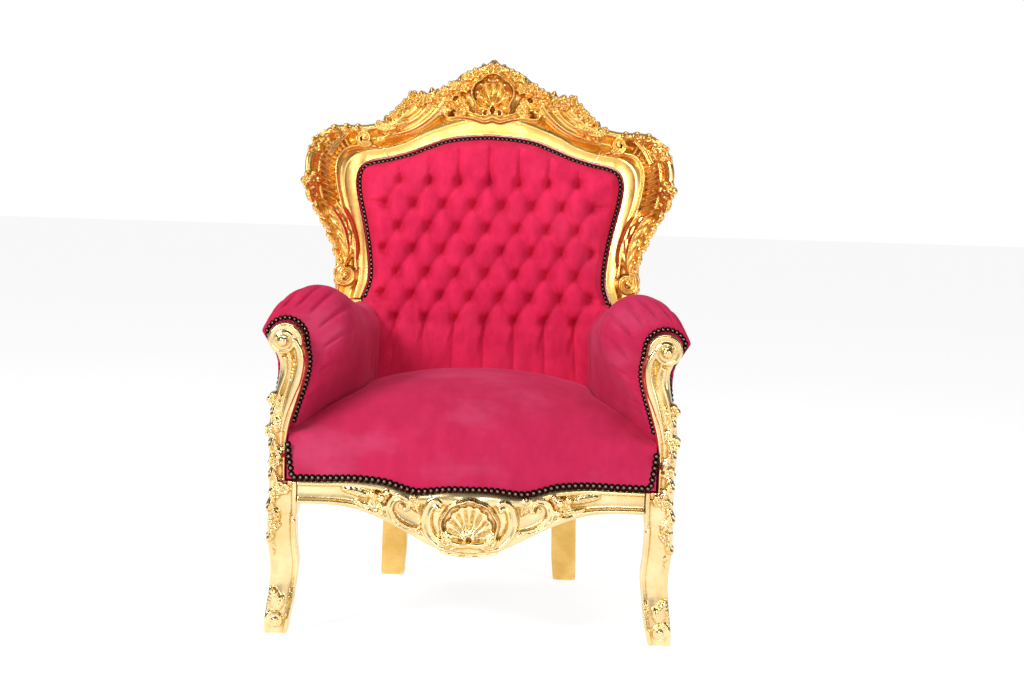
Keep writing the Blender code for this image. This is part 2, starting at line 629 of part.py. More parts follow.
def front_rail():
    """The front rail with its apron, which drops to a shell at the middle."""
    half = BLOCK_INNER - GAP
    edge = [(half * x, RAIL_TOP - APRON_DROP * z) for x, z in APRON_EDGE]
    edge += [(-x, z) for x, z in edge[::-1][1:]]
    body = loft([[(x, APRON_FACE - bow(x) + b * RAIL_THICK, RAIL_TOP + a * (low - RAIL_TOP))
                  for a, b in APRON_PROFILE] for x, low in edge])
    face = APRON_FACE
    radius = APRON_SHELL_RADIUS
    centre = RAIL_TOP - 0.50 * APRON_DROP
    hinge = (0.0, centre - 0.60 * radius)
    lip = [(-0.75 * radius, hinge[1] - 0.006), (0, hinge[1] - 0.017), (0.75 * radius, hinge[1] - 0.006)]
    middle = [shell(hinge, 1.12 * radius, 0.018, 7, 170, face=face),
              strand(smooth_line(lip, 3), 0.010, 0.012, face=face)]
    # Two small scrolls hold the shell, inside a pair of broad C scrolls
    right = [volute((0.98 * radius, hinge[1] + 0.002), 0.011, 1.0, 0.0045, 0.016, start=100, face=face)]
    arc = np.radians(np.linspace(80, -80, 9))
    ring = np.stack([1.66 * radius * np.cos(arc) + 0.004, centre + 1.06 * radius * np.sin(arc)], 1)
    right.append(strand(ring, 0.009 * np.sin(np.linspace(0.45, math.pi - 0.45, 9)), 0.015, face=face))
    # Beyond them a scroll, flowers and a leaf run out along the rail
    line = RAIL_TOP - 0.26 * APRON_DROP
    right.append(volute((0.37 * half, line - 0.018), 0.019, 1.1, 0.007, 0.014, start=-60, face=face))
    right.append(leaf((0.52 * half, line - 0.006), (0.80 * half, line + 0.006), 0.026, 0.012, bend=-0.05, face=face))
    right.append(flower((0.47 * half, line - 0.006), 0.015, 0.016, face=face))
    for share, size in ((0.53, 0.009), (0.58, 0.008)):
        right.append(berry((share * half, line + 0.002), size, face=face - 0.010))
    carving = middle + both(right)
    for mesh in carving:
        warp(mesh, lambda p: Vector((p.x, p.y - bow(p.x), p.z)))
    return fuse("front_rail", body, carving)


# The seat's frame

STILE_FRONT = back_face(RAIL_TOP) + 0.004
RAIL_FRONT = LEG_BACK + GAP
RAIL_REAR = STILE_FRONT - GAP
RAIL_OUTER = BLOCK_OUTER - 0.004
RAIL_OUTER_REAR = HIP_OUTER - 0.004


def side_rail(side):
    """The rail from a knee block back to a stile."""
    outline = [(RAIL_OUTER - RAIL_THICK, RAIL_FRONT), (RAIL_OUTER, RAIL_FRONT),
               (RAIL_OUTER_REAR, RAIL_REAR), (RAIL_OUTER_REAR - RAIL_THICK, RAIL_REAR)]
    rail = warp(plate(outline, RAIL_TOP - RAIL_LOW), lambda p: p + Vector((0, 0, RAIL_LOW)))
    return place(side_name("side_rail", side), on_side(side, [rail])[0], GOLD)


def rear_rail():
    """The rail between the stiles, set back from their faces."""
    inner = HIP_INNER - 0.006 - GAP
    outline = [(-inner, STILE_FRONT + 0.010), (inner, STILE_FRONT + 0.010),
               (inner, STILE_FRONT + 0.010 + RAIL_THICK), (-inner, STILE_FRONT + 0.010 + RAIL_THICK)]
    rail = warp(plate(outline, RAIL_TOP - RAIL_LOW), lambda p: p + Vector((0, 0, RAIL_LOW)))
    return place("rear_rail", rail, GOLD)


def seat_base():
    """The lined board under the seat, between the rails."""
    clear = RAIL_THICK + 0.002
    front, rear = RAIL_OUTER - clear, RAIL_OUTER_REAR - clear
    outline = [(-rear, RAIL_REAR - 0.002), (-front, RAIL_FRONT + 0.002), (front, RAIL_FRONT + 0.002),
               (rear, RAIL_REAR - 0.002)]
    low = RAIL_TOP - 0.010 - BASE_THICK
    board = warp(plate(outline, BASE_THICK), lambda p: p + Vector((0, 0, low)))
    return place("seat_base", board, LINING)


# The upholstery

ARM_FRONT = POST_BACK + GAP
NOSE_DEPTH = 0.085
# How full an arm is, from its flat front to where its nose ends: shares of the nose's depth and of the size
NOSE = ((0.0, 0.0), (0.04, 0.35), (0.15, 0.64), (0.40, 0.89), (1.0, 1.0))
SEAT_BASE = RAIL_TOP + SOFT_GAP
SEAT_FRONT = APRON_FACE + 0.004
SEAT_FRONT_HALF = HALF_FOOT - 0.0245
SEAT_SIDE_DROP = 0.036
PAD_DEPTH = PAD_RISE + 0.012
NAIL_CLEAR = NAIL_WIDTH / 2 + 0.0012
ARM_POINTS = 18


def back_of_sitting(z):
    """Where the seat meets the buttoned back at this height."""
    return back_face(z) - PAD_DEPTH - 2 * SOFT_GAP


def depth_share(y):
    return (y - ARM_FRONT) / (STILE_FRONT - ARM_FRONT)


def sitting_half(y):
    """Half the width between the arms, where they run straight."""
    return (SITTING_WIDTH + depth_share(y) * (SITTING_WIDTH_REAR - SITTING_WIDTH)) / 2


def nose_at(y):
    """How much of its full size an arm has at this depth."""
    return float(np.interp((y - ARM_FRONT) / NOSE_DEPTH, *zip(*NOSE)))


def even_points(line, count):
    """This many points at even steps along a line."""
    line = np.asarray(line, float)
    run = np.concatenate([[0], np.cumsum(np.linalg.norm(np.diff(line, axis=0), axis=1))])
    where = np.linspace(0, run[-1], count)
    return np.stack([np.interp(where, run, line[:, 0]), np.interp(where, run, line[:, 1])], 1)


def round_the_post(clear):
    """A line outside the arm post: up its inner edge, over its scroll and down its outer edge."""
    post = post_line()[1:-2]
    inner, outer = beside(post[:, :2], post[:, 2] + clear)
    if inner[0, 0] > outer[0, 0]:
        inner, outer = outer, inner
    turn = np.radians(np.linspace(165, 15, 7))
    reach = ARM_SCROLL_RADIUS + clear
    over = np.stack([SCROLL_HEART[0] + reach * np.cos(turn), SCROLL_HEART[1] + reach * np.sin(turn)], 1)
    return np.vstack([inner, over, outer[::-1]])


def arm_section(y):
    """The arm's full section: up its inner face, over its roll and down its outer face."""
    inner = sitting_half(y)
    outer = (ARM_SPAN + depth_share(y) * (ARM_SPAN_REAR - ARM_SPAN)) / 2
    rail = RAIL_OUTER + depth_share(y) * (RAIL_OUTER_REAR - RAIL_OUTER) - 0.002
    top = ARM_TOP + smoothstep(depth_share(y)) * (ARM_TOP_REAR - ARM_TOP)
    wide, tall = outer - inner, top - SEAT_BASE
    waist = 0.35 * outer + 0.65 * rail
    belly = 0.010 * (1 - depth_share(y))
    line = [(inner, SEAT_BASE), (inner, SEAT_CROWN - 0.02), (inner - belly, SEAT_BASE + 0.72 * tall),
            (inner - 0.4 * belly, SEAT_BASE + 0.85 * tall), (inner + 0.14 * wide, SEAT_BASE + 0.95 * tall),
            (inner + 0.36 * wide, top), (inner + 0.62 * wide, top - 0.01 * tall),
            (inner + 0.83 * wide, top - 0.06 * tall), (inner + 0.96 * wide, top - 0.13 * tall),
            (outer, top - 0.22 * tall), (outer - 0.004, top - 0.32 * tall), (waist + 0.004, top - 0.50 * tall),
            (waist - 0.004, SEAT_BASE + 0.25 * tall), (rail, SEAT_BASE)]
    return even_points(line, ARM_POINTS)


def arm_pad(side):
    """The upholstered arm: a wall on the side rail, with a roll along its top and a rounded front."""
    front = round_the_post(NAIL_WIDTH + 0.0025)
    front[0, 1] = front[-1, 1] = SEAT_BASE
    front = even_points(front, ARM_POINTS)
    depths = [ARM_FRONT + NOSE_DEPTH * share for share, _ in NOSE]
    depths += list(np.linspace(depths[-1], STILE_FRONT, 4)[1:])
    rings = []
    for number, y in enumerate(depths):
        size = nose_at(y)
        section = (1 - size) * front + size * arm_section(y)
        last = number == len(depths) - 1
        rings.append([(x, stile_face(z) - 2 * SOFT_GAP if last else y, z) for x, z in section])
    return place(side_name("arm_pad", side), on_side(side, [loft(rings)])[0], VELVET)


def arm_nails(side):
    """The nails round the arm's front, close to the post."""
    line = round_the_post(NAIL_CLEAR)
    start = next(i for i, (x, z) in enumerate(line) if z > SEAT_EDGE + 0.02)
    strip = strand(line[start:-1], NAIL_WIDTH / 2, NAIL_RISE, face=ARM_FRONT - GAP, sunk=0)
    return place(side_name("arm_nails", side), on_side(side, [strip])[0], BRONZE)


# The seat's top: shares of its depth, and of the crown's height above the rail
DOME = ((0.0, 0.31), (0.028, 0.515), (0.104, 0.69), (0.184, 0.81), (0.283, 0.904), (0.472, 0.98), (0.67, 1.0),
        (0.87, 0.96), (1.0, 0.91))


def seat_half(y):
    """Half the seat's width: it fills the space between the posts, then narrows round the arms' noses."""
    if y < ARM_FRONT - 2 * GAP:
        return SEAT_FRONT_HALF
    size = nose_at(y)
    return (1 - size) * (HALF_FOOT - 0.060) + size * sitting_half(y) - 2 * SOFT_GAP


def seat_cushion():
    """A crowned seat that rolls over the front rail and fills the space between the arms and the back."""
    rear = back_of_sitting(SEAT_BASE)
    nose = [ARM_FRONT - 0.004, *[ARM_FRONT + NOSE_DEPTH * share - GAP for share, _ in NOSE]]
    depths = [SEAT_FRONT, SEAT_FRONT - 0.003, SEAT_FRONT + 0.012, *nose]
    depths += list(np.linspace(nose[-1], rear, 4)[1:])
    levels = [0.15, 0.30]
    columns = 10
    shape = bmesh.new()
    bmesh.ops.create_grid(shape, x_segments=columns, y_segments=len(depths) - 1, size=1)
    for vertex in shape.verts:
        across = vertex.co.x
        row = round((vertex.co.y + 1) / 2 * (len(depths) - 1))
        y = depths[row]
        share = (y - SEAT_FRONT) / (rear - SEAT_FRONT)
        lift = levels[row] if row < 2 else float(np.interp(share, *zip(*DOME)))
        z = SEAT_BASE + (SEAT_CROWN - SEAT_BASE) * lift
        z -= SEAT_SIDE_DROP * abs(across) ** 2.2 * smoothstep(share / 0.10)
        if row == len(depths) - 1:
            y = back_of_sitting(z)
        vertex.co = (across * seat_half(depths[row]), y - bow(across * HALF_FOOT) * (1 - smoothstep(share / 0.5)), z)
    under = bmesh.ops.extrude_face_region(shape, geom=list(shape.faces))
    for vertex in under["geom"]:
        if isinstance(vertex, bmesh.types.BMVert):
            vertex.co.y = min(vertex.co.y, rear)
            vertex.co.z = SEAT_BASE
    return place("seat_cushion", mesh_from(shape), VELVET)


def seat_nails():
    """The nails along the front of the seat, and up to the arms at both ends."""
    side = SEAT_FRONT_HALF - NAIL_CLEAR
    low = SEAT_BASE + NAIL_WIDTH / 2 + GAP
    high = SEAT_BASE + 0.29 * (SEAT_CROWN - SEAT_BASE)
    path = [(-side, high), *[(side * x, low) for x in np.linspace(-1, 1, 15)], (side, high)]
    strip = strand(path, NAIL_WIDTH / 2, NAIL_RISE, face=SEAT_FRONT - GAP - 0.0035, sunk=0)
    return place("seat_nails", warp(strip, lambda p: p - Vector((0, bow(p.x), 0))), BRONZE)


def pad_half(z):
    """Half the width of the upholstered back at this height, up to its corner."""
    corner = int(CORNER_STATION * LINE_STEPS)
    return float(np.interp(z, PAD_LINE[:corner + 1, 1], PAD_LINE[:corner + 1, 0]))


def pad_height(x):
    """The top of the upholstered back at this distance from the middle."""
    corner = int(CORNER_STATION * LINE_STEPS)
    return float(np.interp(abs(x), PAD_LINE[corner:, 0][::-1], PAD_LINE[corner:, 1][::-1]))


def back_cushion():
    """The buttoned back: a lattice of buttons and puffs by turns, between flat margins."""
    half_pitch = BUTTON_PITCH_X / 2
    inner_columns = BUTTON_COLUMNS
    side = inner_columns + 2
    levels = [SEAT_BASE, 0.5 * (SEAT_BASE + SEAT_CROWN), SEAT_CROWN]
    first = len(levels)
    levels += [LOWEST_BUTTON + BUTTON_PITCH_Z * row for row in range(BUTTON_ROWS)]
    over = [0.5, 0.9, 1.0]
    rows = len(levels) + len(over)
    step = first + 1
    corner = along(PAD_LINE, CORNER_STATION / LAST)
    narrow = sitting_half(STILE_FRONT) - 2 * SOFT_GAP

    def place_of(column, row):
        """The column's x and the row's z."""
        k = abs(column)
        z = levels[row] if row < len(levels) else levels[-1] + over[row - len(levels)] * (corner[1] - levels[-1])
        edge = min(pad_half(z + rise) for rise in np.linspace(-0.5, 0.5, 7) * BUTTON_PITCH_Z) - SOFT_GAP
        x = {side: edge, side - 1: edge - PAD_MARGIN}.get(k, k * half_pitch)
        if row < step:
            x = min(x, narrow)
        if row >= len(levels) and k < side:
            top = pad_height(x) - SOFT_GAP
            share = over[row - len(levels)]
            z = levels[-1] + share * (top - levels[-1])
            if row == rows - 2:
                z = top - PAD_MARGIN
        return math.copysign(x, column), z

    def depth_of(column, row, x, z):
        """How far the cushion stands proud of the frame's face."""
        k = abs(column)
        if row >= step and (k >= side - 1 or row >= rows - 2):
            return 0.003
        crown = 1.0
        if row >= step:
            crown = smoothstep((pad_half(min(z, corner[1])) - abs(x)) / 0.085)
            crown *= smoothstep((pad_height(x) - z) / 0.075 + 0.25)
        dip = 0
        number = row - first
        if 0 <= number < BUTTON_ROWS and (column + number) % 2 == 0 and k <= inner_columns:
            dip = TUFT_DEPTH
        elif (number == -1 or number == BUTTON_ROWS) and column % 2 == 0 and k < inner_columns:
            dip = 0.5 * TUFT_DEPTH
        return 0.006 + (PAD_DEPTH - 0.006) * (0.35 + 0.65 * crown) - dip

    shape = bmesh.new()
    bmesh.ops.create_grid(shape, x_segments=2 * side, y_segments=rows - 1, size=1)
    cell = {}
    for vertex in shape.verts:
        column = round(vertex.co.x * side)
        row = round((vertex.co.y + 1) / 2 * (rows - 1))
        cell[vertex] = (column, row)
        x, z = place_of(column, row)
        vertex.co = (x, -depth_of(column, row, x, z), z)
    # Below the arms the cushion is only as wide as its buttons
    outside = []
    for face in shape.faces:
        widest = max(abs(cell[v][0]) for v in face.verts)
        lowest = min(cell[v][1] for v in face.verts)
        if widest > inner_columns and lowest < step:
            outside.append(face)
    bmesh.ops.delete(shape, geom=outside, context="FACES")
    # Folds run from button to button, so each face is split between its two buttons
    for face in list(shape.faces):
        ends = [v for v in face.verts if sum(cell[v]) % 2 == (first % 2)]
        if len(ends) == 2 and not any(set(ends) == set(e.verts) for e in face.edges):
            bmesh.utils.face_split(face, ends[0], ends[1])
    behind = bmesh.ops.extrude_face_region(shape, geom=list(shape.faces))
    for vertex in behind["geom"]:
        if isinstance(vertex, bmesh.types.BMVert):
            beside_rail = vertex.co.z < 0.5 * (SEAT_BASE + SEAT_CROWN) + GAP
            vertex.co.y = 0.003 if beside_rail else FRAME_THICK - PANEL_THICK - GAP
    mesh = mesh_from(shape)
    return place("back_cushion", warp(mesh, lambda p: Vector((p.x, p.y + back_face(p.z), p.z))), VELVET)


def back_panel():
    """The plain outside of the back, between the stiles and inside the frame."""
    lows = [(z, np.interp(z, *stile_path().T[::-1]) - stile_half(z) - SOFT_GAP)
            for z in np.linspace(RAIL_TOP + SOFT_GAP, FRAME_LOW, 5)]
    low = [(x - 0.001, z) for z, x in lows]
    high = [(x - SOFT_GAP * (x > 0), z - SOFT_GAP) for x, z in PAD_LINE[1:-1]]
    right = [p for p in low + high if p[0] > 0.001]
    top = (0.0, PAD_TOP - SOFT_GAP)
    outline = right + [top] + [(-x, z) for x, z in right[::-1]]
    slab = plate(outline, PANEL_THICK)
    return place("back_panel", warp(slab, lambda p: Vector((p.x, FRAME_THICK - p.z + back_face(p.y), p.y))), VELVET)


def back_nails():
    """The nails round the buttoned back, on its flat margin."""
    line = PAD_LINE[1:]
    run = np.gradient(line, axis=0)
    run /= np.linalg.norm(run, axis=1)[:, None]
    right = line + np.stack([-run[:, 1], run[:, 0]], 1) * (NAIL_CLEAR + SOFT_GAP)
    right[-1, 0] = 0
    path = [*right, *[(-x, z) for x, z in right[::-1][1:]]]
    strip = strand(path, NAIL_WIDTH / 2, NAIL_RISE, face=-0.003 - GAP, sunk=0)
    return place("back_nails", warp(strip, lambda p: Vector((p.x, p.y + back_face(p.z), p.z))), BRONZE)


def stand_on_origin():
    """Hangs everything on an empty, so that the chair's footprint is centred on the origin."""
    bpy.context.view_layer.update()
    corners = [made.matrix_world @ Vector(c) for made in CHAIR.objects for c in made.bound_box]
    middle = (min(c.y for c in corners) + max(c.y for c in corners)) / 2
    foot = bpy.data.objects.new("throne_origin", None)
    CHAIR.objects.link(foot)
    foot.location = (0, -middle, 0)
    for made in CHAIR.objects:
        if made is not foot:
            made.parent = foot


def main():
    crest_rail()
    for side in (-1, 1):
        back_stile(side)
        front_leg(side)
        side_rail(side)
        arm_pad(side)
        arm_nails(side)
    front_rail()
    rear_rail()
    seat_base()
    seat_cushion()
    seat_nails()
    back_cushion()
    back_panel()
    back_nails()
    stand_on_origin()


main()
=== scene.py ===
# %% [markdown]
# # A carved and gilded throne in rose velvet
#
# The CAD model is the fixed frame: it says where every rail, leg and cushion is. This file dresses it. Carving is
# made of leaves, scrolls, shells and flowers that are laid on a flat board and then bent onto the chair, and the
# upholstery is shaped, then puffed up with a short cloth simulation.

# %% Load the frame
import json
import math

import bmesh
import bpy
import numpy as np
from mathutils import Matrix, Vector

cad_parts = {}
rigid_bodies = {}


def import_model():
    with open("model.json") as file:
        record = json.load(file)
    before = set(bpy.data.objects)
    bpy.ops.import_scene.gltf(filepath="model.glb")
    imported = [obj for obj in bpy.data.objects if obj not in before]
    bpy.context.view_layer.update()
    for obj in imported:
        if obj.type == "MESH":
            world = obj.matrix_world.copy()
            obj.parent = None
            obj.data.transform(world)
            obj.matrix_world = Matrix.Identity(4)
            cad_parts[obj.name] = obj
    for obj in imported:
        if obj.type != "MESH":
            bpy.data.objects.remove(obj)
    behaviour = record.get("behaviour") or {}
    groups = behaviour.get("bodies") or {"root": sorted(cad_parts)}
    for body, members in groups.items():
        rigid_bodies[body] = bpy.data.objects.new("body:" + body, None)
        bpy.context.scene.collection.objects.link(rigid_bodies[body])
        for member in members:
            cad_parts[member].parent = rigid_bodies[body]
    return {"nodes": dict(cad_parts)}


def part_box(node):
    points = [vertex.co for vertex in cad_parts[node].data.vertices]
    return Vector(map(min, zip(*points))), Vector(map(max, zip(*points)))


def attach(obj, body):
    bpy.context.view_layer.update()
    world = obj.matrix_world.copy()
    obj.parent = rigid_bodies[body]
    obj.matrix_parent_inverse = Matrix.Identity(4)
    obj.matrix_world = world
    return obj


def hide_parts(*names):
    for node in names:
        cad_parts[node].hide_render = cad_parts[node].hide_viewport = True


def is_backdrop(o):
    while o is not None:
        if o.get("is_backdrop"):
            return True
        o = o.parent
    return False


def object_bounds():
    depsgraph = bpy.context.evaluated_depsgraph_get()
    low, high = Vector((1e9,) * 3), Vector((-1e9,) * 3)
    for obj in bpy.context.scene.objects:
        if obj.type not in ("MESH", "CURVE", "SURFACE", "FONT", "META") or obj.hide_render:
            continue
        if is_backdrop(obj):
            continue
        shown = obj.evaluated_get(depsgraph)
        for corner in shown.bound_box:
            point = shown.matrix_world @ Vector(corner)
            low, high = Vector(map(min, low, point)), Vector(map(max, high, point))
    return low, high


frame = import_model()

for made in [made for made in bpy.data.objects if made.name in ("Cube", "Light", "Camera")]:
    bpy.data.objects.remove(made)
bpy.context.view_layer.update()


def deselect():
    bpy.ops.object.select_all(action="DESELECT")


deselect()

# %% [markdown]
# ## Where things are
#
# The chair is drawn with y = 0 at the middle of its front legs. The frame's origin is under the middle of the
# footprint, so the side rail, whose front end is known in both, tells how far apart the two are. The levels and
# widths below are the ones that the solids were drawn from.

# %% Sizes
RAIL_LOW, RAIL_TOP = 0.272, 0.318
SEAT_CROWN = 0.516
SCROLL_HEIGHT = 0.598
ARM_TOP, ARM_TOP_REAR = 0.708, 0.635
FRAME_LOW, PAD_TOP, CREST_TOP = 0.640, 1.024, 1.200
HALF_FOOT, HALF_WING, HALF_PAD = 0.389, 0.418, 0.309
SEAT_DEPTH, BACK_LEAN, WING_FLARE = 0.585, 0.20, 0.075
FRAME_THICK, RAIL_THICK, FRONT_BOW = 0.042, 0.034, 0.026
LEG_DEPTH, POST_DEPTH = 0.064, 0.050
LEG_FRONT, LEG_BACK = -0.56 * LEG_DEPTH, 0.44 * LEG_DEPTH
BLOCK_INNER, BLOCK_OUTER = HALF_FOOT - 0.039, HALF_FOOT + 0.019
HIP, REAR_LEG_HALF = 0.236, 0.0285
GAP = 0.0005
VOXEL, FINE_VOXEL = 0.0016, 0.0015
# Six carved pieces of this size stay under a million triangles
MOST_TRIANGLES = 165000
RANDOM_SEED = 7

SHIFT = (LEG_BACK + GAP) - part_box("side_rail_right")[0].y
print("drawing's y less frame's y:", round(SHIFT, 4))


def back_face(z):
    """How far back the face of the back's frame lies at this height."""
    return SEAT_DEPTH - 0.025 + BACK_LEAN * (z - SEAT_CROWN)


def smoothstep(value):
    value = np.clip(value, 0, 1)
    return value * value * (3 - 2 * value)


def flare(x, z):
    """How far forward the wings turn."""
    out = (np.abs(x) - 0.92 * HALF_PAD) / (HALF_WING - 0.92 * HALF_PAD)
    return WING_FLARE * np.clip(out, 0, 1) ** 1.5 * smoothstep((z - FRAME_LOW) / (0.36 * (PAD_TOP - FRAME_LOW)))


def bow(x):
    """How far the front rail comes forward at this place along it."""
    return FRONT_BOW * 0.5 * (1 + np.cos(math.pi * np.minimum(np.abs(x) / (0.72 * BLOCK_INNER), 1)))


# %% [markdown]
# ## Forms that are modelled once
#
# A carver repeats a few motifs: a leaf, a flower, a shell, a rolled strand. Each is modelled once here, as a grid
# that is extruded downwards in edit mode and then shaped. A copy is later bent along a path, or stamped at a place.

# %% Lines
def smooth_line(points, steps):
    """A smooth line through the points, with this many steps from each to the next."""
    p = np.asarray(points, float)
    p = np.vstack([2 * p[0] - p[1], p, 2 * p[-1] - p[-2]])
    line = []
    for i in range(1, len(p) - 2):
        before, here, after, beyond = p[i - 1], p[i], p[i + 1], p[i + 2]
        for t in np.arange(steps) / steps:
            bend = (2 * before - 5 * here + 4 * after - beyond) * t ** 2
            twist = (3 * here - before - 3 * after + beyond) * t ** 3
            line.append(0.5 * (2 * here + (after - before) * t + bend + twist))
    return np.array(line + [p[-2]])


def along(line, share):
    """The point this far along a line, where 0 is its first point and 1 its last."""
    where = np.clip(share, 0, 1) * (len(line) - 1)
    low = min(int(where), len(line) - 2)
    return line[low] + (line[low + 1] - line[low]) * (where - low)


def even_points(line, pitch=None, count=None):
    """Points at even steps along a line."""
    line = np.asarray(line, float)
    run = np.concatenate([[0], np.cumsum(np.linalg.norm(np.diff(line, axis=0), axis=1))])
    where = np.linspace(0, run[-1], count or max(int(round(run[-1] / pitch)), 1) + 1)
    return np.stack([np.interp(where, run, line[:, k]) for k in range(line.shape[1])], 1)


def spiral(centre, radius, turns, start=90, way=1, core=0.28, steps=22):
    """A path that winds in from its outer radius to its core."""
    share = np.linspace(0, 1, int(steps * turns) + 1)
    angle = np.radians(start) + way * 2 * math.pi * turns * share
    reach = radius * (1 - (1 - core) * share)
    return np.stack([centre[0] + reach * np.cos(angle), centre[1] + reach * np.sin(angle)], 1)


# %% Forms
def take_form(made):
    """The points and faces of a finished form, whose object is no longer needed."""
    mesh = made.data
    points = np.empty(3 * len(mesh.vertices), np.float32)
    mesh.vertices.foreach_get("co", points)
    faces = [tuple(face.vertices) for face in mesh.polygons]
    bpy.data.objects.remove(made)
    bpy.data.meshes.remove(mesh)
    return points.reshape(-1, 3).astype(float), faces


def closed_grid(columns, rows, shape, weld=False):
    """A grid extruded down by 1 in edit mode. shape(x, y) gives the top's points from -1..1 each way."""
    deselect()
    bpy.ops.mesh.primitive_grid_add(x_subdivisions=columns, y_subdivisions=rows, size=2)
    made = bpy.context.object
    bpy.ops.object.mode_set(mode="EDIT")
    bpy.ops.mesh.select_all(action="SELECT")
    bpy.ops.mesh.extrude_region_move(TRANSFORM_OT_translate={"value": (0, 0, -1)})
    bpy.ops.object.mode_set(mode="OBJECT")
    points = np.empty(3 * len(made.data.vertices), np.float32)
    made.data.vertices.foreach_get("co", points)
    points = points.reshape(-1, 3).astype(float)
    top = points[:, 2] > -0.5
    x, y, height = shape(points[:, 0], points[:, 1])
    shaped = np.stack([x, y, np.where(top, np.maximum(height, 0), -1)], 1)
    made.data.vertices.foreach_set("co", shaped.astype(np.float32).ravel())
    if weld:
        bpy.ops.object.mode_set(mode="EDIT")
        bpy.ops.mesh.select_all(action="SELECT")
        bpy.ops.mesh.remove_doubles(threshold=0.0001)
        bpy.ops.object.mode_set(mode="OBJECT")
    return take_form(made)


def acanthus(lobes=5):
    """A leaf with a rib, side veins and a lobed edge that points to its tip."""
    def shape(x, y):
        u = (x + 1) / 2
        outline = np.interp(u, (0, 0.12, 0.42, 0.75, 0.92, 1), (0.40, 0.70, 1, 0.80, 0.45, 0.05))
        tooth = (lobes * u + 0.15) % 1
        edge = outline * (1 - 0.24 * (1 - tooth) ** 1.5 * np.abs(y) ** 2)
        sweep = u + 0.10 * np.abs(y) ** 1.5 * (1 - u)
        vein = np.cos(2 * math.pi * (lobes * u - 0.55 * np.abs(y)))
        height = 0.30 + 0.60 * (1 - np.abs(y) ** 2.2) + 0.16 * vein * np.abs(y) + 0.22 * np.exp(-(y / 0.13) ** 2)
        return sweep, y * edge, height - 0.16 * np.exp(-((np.abs(y) - 0.30) / 0.12) ** 2)
    return closed_grid(30, 14, shape)


def plume(flutes=3):
    """A long smooth leaf with flutes along it."""
    def shape(x, y):
        u = (x + 1) / 2
        outline = np.interp(u, (0, 0.2, 0.6, 0.9, 1), (0.45, 0.8, 1, 0.75, 0.25))
        groove = 0.24 * (1 - np.abs(np.cos(math.pi * flutes * (y + 1) / 2)) ** 0.8)
        return u, y * outline, 0.95 * np.sqrt(np.maximum(1 - 0.8 * y ** 2, 0)) - groove
    return closed_grid(22, 14, shape)


def strand(hollow=0.0):
    """A rolled strand, or with a hollow a band that has raised edges."""
    def shape(x, y):
        rolled = np.sqrt(np.maximum(1 - y ** 2, 0))
        return (x + 1) / 2, y, rolled ** (0.7 if hollow else 1.0) - hollow * np.exp(-(y / 0.42) ** 2)
    return closed_grid(26, 10, shape)


def flower(petals=5):
    """A rosette: rounded petals round a raised heart."""
    def shape(x, y):
        angle, reach = math.pi * x, (y + 1) / 2
        petal = np.abs(np.cos(petals * angle / 2))
        radius = reach * (1 - 0.30 * reach * (1 - petal ** 0.6))
        rise = np.interp(reach, (0, 0.16, 0.28, 0.62, 0.86, 1), (1.0, 0.92, 0.30, 0.82, 0.72, 0.22))
        height = rise * (1 - 0.45 * (1 - petal ** 0.7) * (reach > 0.3))
        return radius * np.cos(angle), radius * np.sin(angle), height
    return closed_grid(8 * petals, 7, shape, weld=True)


def shell(ribs=9, spread=200, deep=1.9):
    """A scallop: rounded ribs fan out from its hinge to a lifted, scalloped rim."""
    def shape(x, y):
        across, out = (x + 1) / 2, (y + 1) / 2
        ridge = np.abs(np.sin(math.pi * ribs * across))
        angle = np.radians(90 + spread / 2 - spread * across)
        reach = (0.10 + 0.90 * out) * (1 - 0.10 * out * (1 - ridge ** 0.7))
        fade = smoothstep(out / 0.25) * (1 - 0.6 * smoothstep((out - 0.86) / 0.14))
        height = 0.95 - deep * out * (1 - out) - 0.46 * (1 - ridge ** 0.8) * fade
        return reach * np.cos(angle), reach * np.sin(angle), height
    return closed_grid(10 * ribs, 14, shape)


def dome():
    """A nail's head: a low dome inside a flat rim."""
    def shape(x, y):
        angle, reach = math.pi * x, (y + 1) / 2
        height = np.interp(reach, (0, 0.25, 0.5, 0.74, 0.80, 0.97, 1), (1, 0.96, 0.80, 0.42, 0.30, 0.26, 0.0))
        return reach * np.cos(angle), reach * np.sin(angle), height
    return closed_grid(14, 7, shape, weld=True)


ACANTHUS, LEAFLET, PLUME = acanthus(6), acanthus(3), plume(2)
ROLL, BAND = strand(), strand(0.38)
FIVE_PETALS, SIX_PETALS, EIGHT_PETALS = flower(5), flower(6), flower(8)
CREST_SHELL, APRON_SHELL = shell(7, 205, 1.9), shell(9, 186, 0.9)
NAIL = dome()
for name, form in (("acanthus", ACANTHUS), ("flower", FIVE_PETALS), ("nail", NAIL)):
    print(name, "has", len(form[1]), "faces")


# %% [markdown]
# ## Laying forms on the board
#
# The board is the plane of the chair's front, as (x, z), and a form rises from it towards the viewer, which is -y.
# Laying bends a form along a path, as a carver's drawing is pinned to the wood. All the forms of one piece are
# gathered first and become one mesh, so that hundreds of them cost little.

